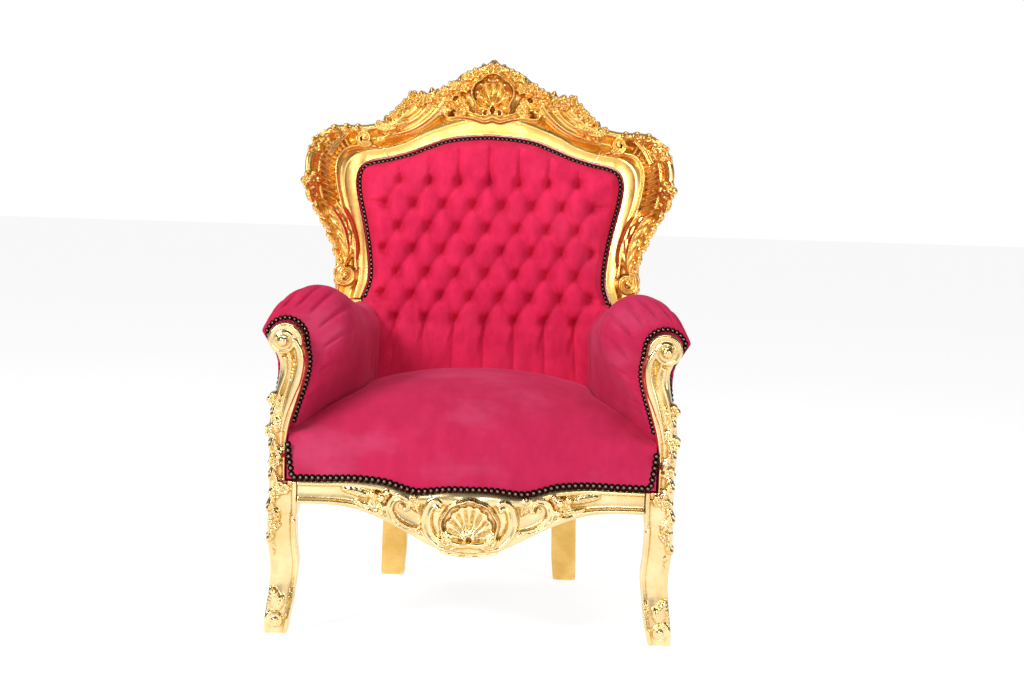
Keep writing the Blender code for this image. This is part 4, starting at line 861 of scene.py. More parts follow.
def front_rail():
    half = BLOCK_INNER - GAP
    edge = smooth_line([(half * x, RAIL_TOP - APRON_DROP * z) for x, z in APRON_EDGE], 6)
    edge = np.vstack([edge, (edge * (-1, 1))[::-1][1:]])
    rings = []
    for x, low in edge:
        front, top = APRON_FACE - bow(x), RAIL_TOP - edge_dip(x)
        rings.append([(x, front + b * RAIL_THICK, top + np.clip(a, 0, 1) * (low - top)) for a, b in APRON_SECTION])
    wood = rings_form(rings)
    work = Carving()
    centre = np.array([0.0, RAIL_TOP - 0.50 * APRON_DROP])
    face = APRON_FACE
    # Two broad C scrolls with a hollow face hold the shell
    ring = smooth_line([(0.056, 0.279), (0.068, 0.285), (0.081, 0.275), (0.087, 0.252), (0.082, 0.228), (0.066, 0.208),
                        (0.046, 0.197), (0.026, 0.200)], 7)
    work.lay(BAND, ring, 0.0125 * np.sin(np.linspace(0.45, math.pi - 0.35, len(ring))) ** 0.7, 0.018, face=face)
    work.lay(ROLL, spiral((0.043, 0.212), 0.0125, 1.3, start=95, way=-1), 0.0042, 0.021, face=face)
    work.ball((0.043, 0.212), 0.0048, face=face - 0.014)
    work.ball((0.063, 0.274), 0.0070, face=face - 0.008)
    # The curled scroll, with berries and flowers in it
    curl = smooth_line([(0.104, 0.229), (0.128, 0.232), (0.150, 0.245), (0.162, 0.264), (0.157, 0.284), (0.141, 0.292),
                        (0.126, 0.285), (0.124, 0.272), (0.134, 0.266)], 7)
    share = np.linspace(0, 1, len(curl))
    work.lay(BAND, curl, 0.0092 * np.interp(share, (0, 0.3, 0.7, 1), (0.5, 1, 0.8, 0.4)), 0.015, face=face)
    work.ball((0.139, 0.275), 0.0060, face=face - 0.008)
    work.leaf((0.102, 0.262), (0.112, 0.302), 0.022, 0.013, bend=0.1, face=face)
    for x, z, size in ((0.180, 0.290, 0.0100), (0.198, 0.296, 0.0085), (0.176, 0.270, 0.0075), (0.168, 0.300, 0.0065)):
        work.ball((x, z), size, face=face - 0.006)
    work.stamp(FIVE_PETALS, (0.192, 0.278), 0.0135, 0.014, face=face, turn=0.4)
    work.leaf((0.196, 0.288), (0.262, 0.303), 0.022, 0.012, bend=-0.06, face=face)
    work.leaf((0.190, 0.272), (0.232, 0.281), 0.016, 0.010, bend=0.06, form=LEAFLET, face=face)
    work.leaf((0.172, 0.262), (0.206, 0.262), 0.014, 0.010, bend=0.08, form=LEAFLET, face=face)
    work.leaf((0.100, 0.232), (0.060, 0.196), 0.014, 0.010, bend=-0.05, form=LEAFLET, face=face)
    work.mirror()
    hinge = np.array([0.0, 0.216])
    work.stamp(APRON_SHELL, hinge, 0.051, 0.024, face=face, tall=1.34)
    turn = np.radians(np.linspace(-32, 212, 130))
    scallop = 1 + 0.055 * np.abs(np.sin(4.5 * (turn - math.pi / 2) + math.pi / 2))
    rim = np.stack([0.0545 * scallop * np.cos(turn), 0.241 + 0.050 * scallop * np.sin(turn)], 1)
    work.lay(ROLL, rim, 0.0040, 0.026, face=face)
    lip = smooth_line(((-0.034, 0.207), (-0.018, 0.203), (0.0, 0.205), (0.018, 0.203), (0.034, 0.207)), 6)
    work.lay(ROLL, lip, 0.0095, 0.019, face=face)
    hem = smooth_line(((-0.058, 0.190), (-0.030, 0.184), (0.0, 0.182), (0.030, 0.184), (0.058, 0.190)), 5)
    work.lay(BAND, hem, 0.006, 0.012, face=face)
    work.warp(lambda x, y, z: y - bow(x))
    work.add(*wood)
    return carved(work, "front_rail_carving", keep=0.85)


apron = front_rail()

# %% [markdown]
# ## The side and rear rails
#
# These rails are plain gilded wood. Each is a box in the CAD model, so the box is copied, its corners are welded
# and its edges get a round.

# %% Plain rails
def dressed_rail(node, name):
    """A copy of a CAD rail with softened edges and enough faces for the gilding's marks."""
    made = bpy.data.objects.new(name, frame["nodes"][node].data.copy())
    bpy.context.scene.collection.objects.link(made)
    deselect()
    made.select_set(True)
    bpy.context.view_layer.objects.active = made
    bpy.ops.object.mode_set(mode="EDIT")
    bpy.ops.mesh.select_all(action="SELECT")
    bpy.ops.mesh.remove_doubles(threshold=0.00001)
    bpy.ops.mesh.dissolve_limited(angle_limit=0.02)
    bpy.ops.object.mode_set(mode="OBJECT")
    use_modifier(made, "BEVEL", width=0.0045, segments=4, limit_method="ANGLE")
    use_modifier(made, "REMESH", mode="VOXEL", voxel_size=0.004, use_smooth_shade=True)
    use_modifier(made, "SMOOTH", factor=0.5, iterations=2)
    made.data.shade_smooth()
    mark_hollows(made)
    return made


rails = {node: dressed_rail(node, node + "_dressed") for node in ("side_rail_left", "side_rail_right", "rear_rail")}
print("rails:", {name: len(rail.data.polygons) for name, rail in rails.items()})

# %% [markdown]
# ## Padding
#
# Velvet over stuffing is shaped in two steps. The form is drawn first, as a fine grid that is closed at its back.
# Then Blender's cloth puffs it up from inside, while the points that are nailed or buttoned are held. How far a
# point may move is capped, so that the cushion keeps its size and stays clear of its neighbours.

# %% Cloth
def object_from(name, points, faces, move=(0, 0, 0)):
    mesh = bpy.data.meshes.new(name)
    mesh.from_pydata((np.asarray(points) + np.asarray(move)).tolist(), [], faces)
    mesh.update()
    made = bpy.data.objects.new(name, mesh)
    bpy.context.scene.collection.objects.link(made)
    return made


def sheet(name, points, rows, columns, wrap=False):
    """An open sheet of rows x columns points. With wrap, the last column joins the first."""
    faces = []
    for r in range(rows - 1):
        for c in range(columns if wrap else columns - 1):
            d = (c + 1) % columns
            faces.append((r * columns + c, r * columns + d, (r + 1) * columns + d, (r + 1) * columns + c))
    return object_from(name, points, faces, (0, -SHIFT, 0))


def close_up(made, behind=None):
    """Closes an open sheet: its border is taken back to behind(point), and flat faces fill what is left open."""
    shaped = bmesh.new()
    shaped.from_mesh(made.data)
    border = [edge for edge in shaped.edges if edge.is_boundary]
    if behind:
        made_new = bmesh.ops.extrude_edge_only(shaped, edges=border)["geom"]
        for corner in [part for part in made_new if isinstance(part, bmesh.types.BMVert)]:
            corner.co = Vector(behind(corner.co + Vector((0, SHIFT, 0)))) - Vector((0, SHIFT, 0))
        border = [part for part in made_new if isinstance(part, bmesh.types.BMEdge) and part.is_boundary]
    bmesh.ops.holes_fill(shaped, edges=border, sides=0)
    bmesh.ops.recalc_face_normals(shaped, faces=shaped.faces)
    shaped.to_mesh(made.data)
    shaped.free()
    made.data.update()


def puff(made, held, pressure, cap, frames=20):
    """Puffs a body up from inside. held is 1 for a point that stays, down to 0 for one that is free."""
    start = points_of(made.data)
    group = made.vertex_groups.new(name="held")
    for level in np.unique(np.round(held, 1)):
        if level > 0:
            group.add([int(i) for i in np.flatnonzero(np.abs(held - level) < 0.05)], float(level), "REPLACE")
    cloth = made.modifiers.new("cloth", "CLOTH")
    settings = cloth.settings
    settings.quality = 4
    settings.vertex_group_mass = "held"
    settings.use_pressure = True
    settings.uniform_pressure_force = pressure
    settings.effector_weights.gravity = 0
    settings.tension_stiffness = settings.compression_stiffness = 12
    settings.bending_stiffness = 0.4
    cloth.collision_settings.use_collision = False
    scene = bpy.context.scene
    for number in range(1, frames + 1):
        scene.frame_set(number)
    shaped = made.evaluated_get(bpy.context.evaluated_depsgraph_get())
    moved = points_of(shaped.data) - start
    made.modifiers.remove(cloth)
    scene.frame_set(1)
    length = np.linalg.norm(moved, axis=1)
    kept = np.where(length > 0, cap * np.tanh(length / cap) / np.maximum(length, 1e-9), 0)
    set_points(made.data, start + moved * kept[:, None])
    made.vertex_groups.clear()
    print(made.name, "puffed by up to", round(float((length * kept).max()) * 1000, 1), "mm")


def finish_padding(made, behind=None):
    use_modifier(made, "SUBSURF", levels=1, render_levels=1, boundary_smooth="PRESERVE_CORNERS")
    close_up(made, behind)
    deselect()
    made.select_set(True)
    bpy.context.view_layer.objects.active = made
    bpy.ops.object.shade_smooth_by_angle(angle=math.radians(55))
    return made


# %% [markdown]
# ## The buttoned back
#
# Buttons pull the velvet in on a diamond lattice, and the spare cloth is folded into a pleat from each button to
# its diagonal neighbours. From the outer buttons the pleats run straight to the edges. So the height at a point
# follows from the nearest pleat: it is low along the pleat, lowest at a button, and rounds up in between.

# %% Back cushion
SOFT_GAP, SEAT_BASE = 0.0012, RAIL_TOP + 0.0012
PITCH_X, PITCH_Z, LOWEST_BUTTON, BUTTON_ROWS = 0.068, 0.052, 0.602, 7
PAD_DEPTH = 0.056
STILE_FRONT = back_face(RAIL_TOP) + 0.004
ARM_FRONT = POST_BACK + GAP
PUFF_REACH, FOLD_REACH, BUTTON_DEPTH, PLEAT_LEVEL = 0.0265, 0.012, 0.031, 0.70


def depth_share(y):
    return (y - ARM_FRONT) / (STILE_FRONT - ARM_FRONT)


def sitting_half(y):
    """Half the width between the arms, where they run straight."""
    return (0.526 + depth_share(y) * (0.470 - 0.526)) / 2


def pad_half(z):
    corner = int(CORNER_STATION * FINE)
    return np.interp(z, PAD_LINE[:corner + 1, 1], PAD_LINE[:corner + 1, 0])


def pad_height(x):
    corner = int(CORNER_STATION * FINE)
    return np.interp(np.abs(x), PAD_LINE[corner:, 0][::-1], PAD_LINE[corner:, 1][::-1])


def button_places():
    places = []
    for row in range(BUTTON_ROWS):
        count = 7 if row % 2 == 0 else 8
        for i in range(count):
            places.append(((i - (count - 1) / 2) * PITCH_X, LOWEST_BUTTON + PITCH_Z * row))
    return np.array(places)


def pleats():
    """Each pleat as its two ends and its level at the first end, the middle and the second end."""
    places = button_places()
    found = []
    for x, z in places:
        for side in (-1, 1):
            near = np.abs(places - (x + side * PITCH_X / 2, z + PITCH_Z)).sum(1) < 0.001
            if near.any():
                found.append(((x, z), tuple(places[near][0]), (0.10, PLEAT_LEVEL, 0.10), PUFF_REACH))
    low, high = LOWEST_BUTTON, LOWEST_BUTTON + PITCH_Z * (BUTTON_ROWS - 1)
    for i in range(-3, 4):
        x = i * PITCH_X
        found.append(((x, high), (1.03 * x, float(pad_height(x))), (0.10, 0.55, 0.58), FOLD_REACH))
        found.append(((x, low), (1.04 * x, low - 0.125), (0.10, 0.68, 0.92), FOLD_REACH))
    for row in (1, 3, 5):
        z = low + PITCH_Z * row
        edge = float(pad_half(z))
        for side in (-1, 1):
            found.append(((side * 3.5 * PITCH_X, z), (side * edge, z + 0.004), (0.10, 0.60, 0.70), FOLD_REACH))
    return found


def tufting(x, z):
    """The cushion's height, from 0 at a button to 1 on top of a puff."""
    height = np.ones_like(x)
    for (ax, az), (bx, bz), (start, middle, end), reach in pleats():
        run = np.array([bx - ax, bz - az])
        t = np.clip(((x - ax) * run[0] + (z - az) * run[1]) / (run ** 2).sum(), 0, 1)
        away = np.hypot(x - ax - t * run[0], z - az - t * run[1])
        level = np.interp(t, (0, 0.24, 0.5, 0.76, 1), (start, 0.80 * middle + 0.20 * start, middle,
                                                       0.80 * middle + 0.20 * end, end))
        rise = np.sin(0.5 * math.pi * np.clip(away / reach, 0, 1) ** 0.75)
        height = np.minimum(height, level + (1 - level) * rise)
    return height


def cushion_front(columns, rows, edge_of, top_of, low):
    """Points of a sheet between two mirrored edges and under a curved top."""
    s, t = np.meshgrid(np.linspace(-1, 1, columns), np.linspace(0, 1, rows))
    s, t = s.ravel(), t.ravel()
    z = low + t * (PAD_TOP - low)
    for _ in range(8):
        x = s * edge_of(z)
        z = low + t * (top_of(x) - low)
    return x, z, s, t


def back_cushion(name, columns=141, rows=171):
    corner = frame_point(CORNER_STATION, 0)
    narrow = sitting_half(STILE_FRONT) + 0.008

    def edge_of(z):
        edge = pad_half(np.minimum(z, corner[1])) - SOFT_GAP
        lower = narrow + (edge - narrow) * smoothstep((z - 0.600) / 0.050)
        return np.minimum(edge, lower)

    x, z, s, t = cushion_front(columns, rows, edge_of, lambda x: pad_height(x) - SOFT_GAP, SEAT_BASE)
    to_side = edge_of(z) - np.abs(x)
    to_top = pad_height(x) - SOFT_GAP - z
    low_side = np.minimum(to_side + 0.1 * smoothstep((0.66 - z) / 0.04), 1)
    to_edge = np.where(z > 0.64, np.minimum(to_side, to_top), low_side)
    crown = smoothstep((to_edge - 0.012) / 0.075) ** 0.75
    lip = smoothstep((to_edge - 0.010) / 0.014)
    full = 0.006 + (PAD_DEPTH - 0.006) * (0.42 * lip + 0.58 * crown)
    height = tufting(x, z)
    for bx, bz in button_places():
        height = height - 0.42 * np.exp(-((x - bx) ** 2 + (z - bz) ** 2) / 0.0125 ** 2)
    proud = np.where(to_edge > 0.0095, full - BUTTON_DEPTH * (1 - height) * smoothstep((to_edge - 0.008) / 0.03), 0.003)
    proud = np.maximum(proud, 0.003)
    front = np.stack([x, back_face(z) - proud, z], 1)
    made = sheet(name, front, rows, columns)
    held = np.clip(1.2 - (to_edge - 0.006) / 0.010, 0, 1)
    held[z < SEAT_BASE + 0.02] = 1
    for bx, bz in button_places():
        held = np.maximum(held, np.clip(1.5 - np.hypot(x - bx, z - bz) / 0.0045, 0, 1))
    puff(made, held, 4.0, 0.005)
    return finish_padding(made, lambda p: (p.x, back_face(p.z) + 0.003, p.z))


back = back_cushion("back_cushion_tufted")


def covered_buttons():
    """A small velvet button at the bottom of each dimple."""
    work = Carving()
    skin = points_of(back.data) + (0, SHIFT, 0)
    for x, z in button_places():
        bottom = skin[np.argmin(np.hypot(skin[:, 0] - x, skin[:, 2] - z) + (skin[:, 1] > back_face(z)))]
        work.stamp(NAIL, (x, z), 0.0058, 0.0022, face=bottom[1] - 0.0008, sunk=0.004)
    made = work.object("back_buttons")
    made.data.shade_smooth()
    return made


buttons = covered_buttons()

# %% [markdown]
# ## The seat
#
# A sprung seat is a dome. It rises steeply from the front rail, fills the space between the arm posts, narrows
# where the arms begin and is highest two thirds of the way back.

# %% Seat cushion
NOSE_DEPTH, LOW_NOSE_DEPTH = 0.085, 0.21
SEAT_FRONT = APRON_FACE + 0.004
SEAT_FRONT_HALF = HALF_FOOT - 0.018
DOME = smooth_line(((0.0, 0.30), (0.028, 0.50), (0.104, 0.68), (0.184, 0.80), (0.283, 0.895), (0.472, 0.975),
                    (0.67, 0.995), (0.87, 0.96), (1.0, 0.91)), 5)


def back_of_sitting(z):
    return back_face(z) - PAD_DEPTH - 2 * SOFT_GAP


def nose_at(y, z=SEAT_BASE):
    """How much of its full size an arm has at this depth. It fills out quickly at its roll and slowly by the seat."""
    low = smoothstep((0.63 - z) / 0.15)
    quick = np.clip((y - ARM_FRONT) / NOSE_DEPTH, 0, 1)
    slow = np.clip((y - ARM_FRONT) / LOW_NOSE_DEPTH, 0, 1)
    return (1 - low) * np.sqrt(1 - (1 - quick) ** 3) + low * (1 - (1 - slow) ** 1.5)


def seat_half(y):
    inside = (1 - nose_at(y)) * (HALF_FOOT - 0.034) + nose_at(y) * sitting_half(y) + 0.003
    return np.where(y < ARM_FRONT - 2 * GAP, SEAT_FRONT_HALF, inside)


def seat_cushion(name, columns=121, rows=111):
    rear = back_of_sitting(SEAT_BASE)
    front_rows = [(0.0, SEAT_FRONT - 0.0050), (0.10, SEAT_FRONT - 0.0065), (0.20, SEAT_FRONT - 0.0065),
                  (0.28, SEAT_FRONT - 0.0055)]
    depths = np.concatenate([np.linspace(SEAT_FRONT - 0.004, ARM_FRONT - 0.003, 18),
                             ARM_FRONT - GAP + NOSE_DEPTH * np.linspace(0, 1, 26) ** 1.6,
                             np.linspace(ARM_FRONT + NOSE_DEPTH, rear, rows - 47)[1:]])
    depths = np.concatenate([[d for _, d in front_rows], depths])
    lifts = np.concatenate([[z for z, _ in front_rows],
                            np.interp((depths[4:] - SEAT_FRONT) / (rear - SEAT_FRONT), DOME[:, 0], DOME[:, 1])])
    rows = len(depths)
    s = np.linspace(-1, 1, columns)
    points = []
    for y, lift in zip(depths, lifts):
        share = (y - SEAT_FRONT) / (rear - SEAT_FRONT)
        z = SEAT_BASE + (SEAT_CROWN - SEAT_BASE) * lift - 0.036 * np.abs(s) ** 2.2 * smoothstep(share / 0.10)
        x = s * seat_half(np.array(y))
        # Pulls in the cloth where it turns under the posts and the arms
        pull = 0.0022 * np.sin(46 * x) * np.exp(-((share - 0.09) / 0.07) ** 2) * np.abs(s) ** 2
        rounding = 0.010 * smoothstep((np.abs(s) - 0.90) / 0.10) ** 2 * smoothstep((share - 0.10) / 0.2)
        z = z + pull - rounding - edge_dip(x) * np.clip(1 - lift / 0.30, 0, 1) ** 1.5
        forward = bow(s * HALF_FOOT) * (1 - smoothstep(share / 0.5))
        points.append(np.stack([x, y - forward, z], 1))
    points[-1][:, 1] = back_of_sitting(points[-1][:, 2])
    points = np.array(points)
    for _ in range(10):
        points[2:22] = 0.25 * points[1:21] + 0.5 * points[2:22] + 0.25 * points[3:23]
    front = points.reshape(-1, 3)
    made = sheet(name, front, rows, columns)
    row = np.repeat(np.arange(rows), columns)
    column = np.tile(np.arange(columns), rows)
    inward = np.minimum(np.minimum(column, columns - 1 - column), rows - 1 - row)
    held = np.clip(1 - np.minimum(inward / 6, np.maximum(row - 2, 0) / 6), 0, 1)
    puff(made, held, 3.0, 0.0045)
    return finish_padding(made, lambda p: (p.x, min(p.y + 0.012, rear), max(p.z - 0.002, SEAT_BASE - 0.02)))


seat = seat_cushion("seat_cushion_crowned")

# %% [markdown]
# ## The arms
#
# Each arm is a wall of padding with a roll along its top. Its nose is gathered round the post, so small pleats run
# back from the nails, and the velvet creases softly where the arm meets the back.

# %% Arm pads
ARM_SPAN, ARM_SPAN_REAR = 0.846, 0.676
RAIL_OUTER, RAIL_OUTER_REAR = BLOCK_OUTER - 0.004, HIP + REAR_LEG_HALF - 0.004
ARM_RING = 224
NAIL_WIDTH = 0.0105
# Where a pleat starts round the post, as a share of the way from the inner foot to the outer, and its length
ARM_PLEATS = ((0.22, 0.05), (0.29, 0.07), (0.345, 0.06), (0.40, 0.085), (0.445, 0.06), (0.485, 0.075), (0.525, 0.055),
              (0.565, 0.08), (0.605, 0.06), (0.65, 0.07), (0.70, 0.05), (0.76, 0.04))


def round_the_post(clear, fine=13):
    """A line outside the arm post: up its inner edge, over its scroll and down behind its outer edge."""
    post = post_line(2)[1:-2]
    sides = beside(post[:, :2], post[:, 2] + clear)
    inner = min(sides, key=lambda line: line[0, 0])
    clear_outer = np.interp(post[:, 1], (0.42, 0.50, 0.58), (-0.008, 0.3 * clear, 0.7 * clear))
    outer = max(beside(post[:, :2], post[:, 2] + clear_outer), key=lambda line: line[0, 0])
    turn = np.radians(np.linspace(165, 15, fine))
    reach = ARM_SCROLL_RADIUS + clear
    over = np.stack([SCROLL_HEART[0] + reach * np.cos(turn), SCROLL_HEART[1] + reach * np.sin(turn)], 1)
    return np.vstack([inner, over, outer[::-1]])


def arm_section(y):
    """The arm's full section: up its inner face, over its roll and down its outer face."""
    inner = sitting_half(y)
    outer = (ARM_SPAN + depth_share(y) * (ARM_SPAN_REAR - ARM_SPAN)) / 2
    rail = RAIL_OUTER + depth_share(y) * (RAIL_OUTER_REAR - RAIL_OUTER) - 0.016
    top = ARM_TOP + smoothstep(depth_share(y)) * (ARM_TOP_REAR - ARM_TOP)
    wide, tall = outer - inner, top - SEAT_BASE
    waist = 0.15 * outer + 0.85 * rail
    belly = 0.010 * (1 - depth_share(y))
    line = [(inner, SEAT_BASE), (inner, SEAT_CROWN - 0.02), (inner - belly, SEAT_BASE + 0.72 * tall),
            (inner - 0.4 * belly, SEAT_BASE + 0.85 * tall), (inner + 0.14 * wide, SEAT_BASE + 0.95 * tall),
            (inner + 0.36 * wide, top), (inner + 0.62 * wide, top - 0.01 * tall),
            (inner + 0.83 * wide, top - 0.06 * tall), (inner + 0.96 * wide, top - 0.13 * tall),
            (outer, top - 0.22 * tall), (outer - 0.004, top - 0.32 * tall), (waist + 0.004, top - 0.50 * tall),
            (waist - 0.004, SEAT_BASE + 0.25 * tall), (rail, SEAT_BASE)]
    return even_points(smooth_line(line, 5), count=ARM_RING)


def arm_pad(name):
    front = round_the_post(NAIL_WIDTH + 0.0010)
    front[0, 1] = front[-1, 1] = SEAT_BASE
    front = even_points(front, count=ARM_RING)
    depths = np.concatenate([ARM_FRONT + NOSE_DEPTH * np.linspace(0, 1, 30) ** 1.7,
                             np.linspace(ARM_FRONT + NOSE_DEPTH, STILE_FRONT, 50)[1:]])
    rings = []
    for y in depths:
        full = arm_section(y)
        size = nose_at(y, full[:, 1])[:, None]
        section = (1 - size) * front + size * full
        leaning = smoothstep((depth_share(y) - 0.75) / 0.25)
        rings.append([(x, y + leaning * (stile_face(z) - 2 * SOFT_GAP - STILE_FRONT), z) for x, z in section])
    points = np.vstack(rings)
    made = sheet(name, points, len(depths), ARM_RING, wrap=True)
    # Pleats and creases are pressed in along the surface's own normal
    normals = np.empty(3 * len(points), np.float32)
    made.data.vertex_normals.foreach_get("vector", normals)
    q = np.tile(np.linspace(0, 1, ARM_RING), len(depths))
    y = np.repeat(depths, ARM_RING) - ARM_FRONT
    groove = np.zeros(len(points))
    random = np.random.default_rng(RANDOM_SEED + 3)
    middle = points - points.reshape(-1, ARM_RING, 3).mean(1).repeat(ARM_RING, 0)
    if (normals.reshape(-1, 3) * middle).sum() < 0:
        normals = -normals
    for where, length in ARM_PLEATS:
        drift = random.uniform(-0.10, 0.10)
        width = 0.0036 + 0.070 * y
        fade = smoothstep(1 - y / (1.35 * length)) * smoothstep(y / 0.004)
        groove += 0.0085 * fade * np.exp(-((q - where - drift * y) / width) ** 2)
    share = (y / (STILE_FRONT - ARM_FRONT))
    inner_face = smoothstep((0.42 - q) / 0.10) * smoothstep((q - 0.10) / 0.10)
    for where, depth in ((0.66, 0.0030), (0.76, 0.0034), (0.86, 0.0030)):
        groove += depth * inner_face * np.exp(-((share - where - 0.05 * np.sin(9 * q)) / 0.014) ** 2)
    moved = points_of(made.data) - normals.reshape(-1, 3) * groove[:, None]
    set_points(made.data, moved)
    held = np.clip(1 - y / 0.006, 0, 1)
    held = np.maximum(held, np.clip(1 - (STILE_FRONT - ARM_FRONT - y) / 0.02, 0, 1))
    held = np.maximum(held, np.clip(1 - (points[:, 2] - SEAT_BASE) / 0.02, 0, 1))
    puff(made, held, 3.0, 0.0025)
    return finish_padding(made)


arm_right = arm_pad("arm_pad_right_velvet")
arm_left = other_side(arm_right, "arm_pad_left_velvet")

# %% [markdown]
# ## The outside of the back
#
# A flat velvet panel closes the back between the stiles. It is stretched over a thin layer of wadding, so it stands
# out a little in the middle.

# %% Back panel
PANEL_THICK = 0.008


def back_panel(name, columns=61, rows=81):
    corner = frame_point(CORNER_STATION, 0)
    shoulder = frame_point(0.8, 0.42)[0]
    stile_x = ((RAIL_TOP, HIP), (0.5 * (RAIL_TOP + FRAME_LOW), 0.5 * (HIP + shoulder)), (FRAME_LOW, shoulder))
    levels, middles = np.array(stile_x).T

    def edge_of(z):
        half = np.interp(z, (RAIL_TOP, FRAME_LOW), (REAR_LEG_HALF, 0.75 * REAR_LEG_HALF))
        lower = np.interp(z, levels, middles) - half - 0.0035
        upper = pad_half(np.minimum(z, corner[1])) - SOFT_GAP
        return np.where(z < FRAME_LOW, np.minimum(lower, upper), upper)

    x, z, s, t = cushion_front(columns, rows, edge_of, lambda x: pad_height(x) - SOFT_GAP, RAIL_TOP + SOFT_GAP)
    crown = (1 - np.abs(s) ** 4) * (1 - np.abs(2 * t - 1) ** 4)
    y = back_face(z) + FRAME_THICK + 0.004 * crown
    made = sheet(name, np.stack([x, y, z], 1), rows, columns)
    return finish_padding(made, lambda p: (p.x, p.y - PANEL_THICK, p.z))


panel = back_panel("back_panel_velvet")

# %% [markdown]
# ## Dome nails
#
# Every edge of the velvet is covered by a row of dark bronze nails that nearly touch. One nail is modelled, as a
# low dome inside a flat rim, and it is stamped at even steps along each row.

# %% Nails
def nail_row(work, path, pitch, radius, face, rise=0.0042):
    for place in even_points(path, pitch=pitch):
        work.stamp(NAIL, place, radius, rise, face=face, sunk=0.0015)


def nails_object(work, name, side=1):
    made = work.object(name, side)
    made.data.shade_smooth()
    heights = np.concatenate([np.maximum(NAIL[0][:, 2], 0)] * (len(made.data.vertices) // len(NAIL[0])))
    # The height on the dome, from which the bronze paints a highlight on each nail's top
    field = made.data.attributes.new("crown", "FLOAT", "POINT")
    field.data.foreach_set("value", heights.astype(np.float32))
    return made


NAIL_CLEAR = NAIL_WIDTH / 2 + 0.0012
POST_CLEAR = 0.0016

work = Carving()
run = np.gradient(PAD_LINE, axis=0)
run /= np.linalg.norm(run, axis=1)[:, None]
row = (PAD_LINE + np.stack([-run[:, 1], run[:, 0]], 1) * (NAIL_CLEAR + SOFT_GAP))
row[-1, 0] = 0
row = np.vstack([row[0] + 3 * (row[0] - row[2]), row])
row = np.vstack([row, (row * (-1, 1))[::-1][1:]])
nail_row(work, row, 0.0101, 0.0056, -0.0040)
work.warp(lambda x, y, z: y + back_face(z))
back_nails = nails_object(work, "back_nails_domed")

work = Carving()
side, low = SEAT_FRONT_HALF - 0.010, SEAT_BASE + NAIL_WIDTH / 2 - 0.001
corner = [(side + 0.009, 0.390), (side + 0.006, 0.362), (side + 0.001, 0.336), (side, low)]
level = [(x, low - edge_dip(x)) for x in np.linspace(side, 0, 40)[1:]]
row = np.array(corner + level)
row = np.vstack([row * (-1, 1), row[::-1][1:]])
nail_row(work, row, 0.0122, 0.0066, SEAT_FRONT - 0.0062, rise=0.0046)
work.warp(lambda x, y, z: y - bow(x))
seat_nails = nails_object(work, "seat_nails_domed")


def arm_row(side):
    work = Carving()
    line = round_the_post(POST_CLEAR)
    start = next(i for i, (x, z) in enumerate(line) if z > 0.425)
    nail_row(work, line[start:-1], 0.0097, 0.0051, ARM_FRONT - 0.002)
    return nails_object(work, "arm_nails_%s_domed" % ("right" if side > 0 else "left"), side)


arm_nails = {side: arm_row(side) for side in (1, -1)}
print("nails:", sum(len(o.data.vertices) for o in (back_nails, seat_nails, *arm_nails.values())) // len(NAIL[0]))

# %% [markdown]
# ## Writing shader maths as Python
#
# A material is a graph of nodes. A small class wraps a socket, so that sums on it add Math nodes, and one method
# makes every other node from its type, its settings and the values or links of its sockets.

# %% Node tools
class Value:
    """A number in a material. Sums on it add Math nodes."""

    def __init__(self, look, socket):
        self.look, self.socket = look, socket

    def math(self, operation, a, b):
        return self.look.node("ShaderNodeMath", {"operation": operation}, {0: a, 1: b})

    def __add__(self, other):
        return self.math("ADD", self, other)

    def __sub__(self, other):
        return self.math("SUBTRACT", self, other)

    def __rsub__(self, other):
        return self.math("SUBTRACT", other, self)

    def __mul__(self, other):
        return self.math("MULTIPLY", self, other)

    def __pow__(self, other):
        return self.math("POWER", self, other)

    __radd__, __rmul__ = __add__, __mul__


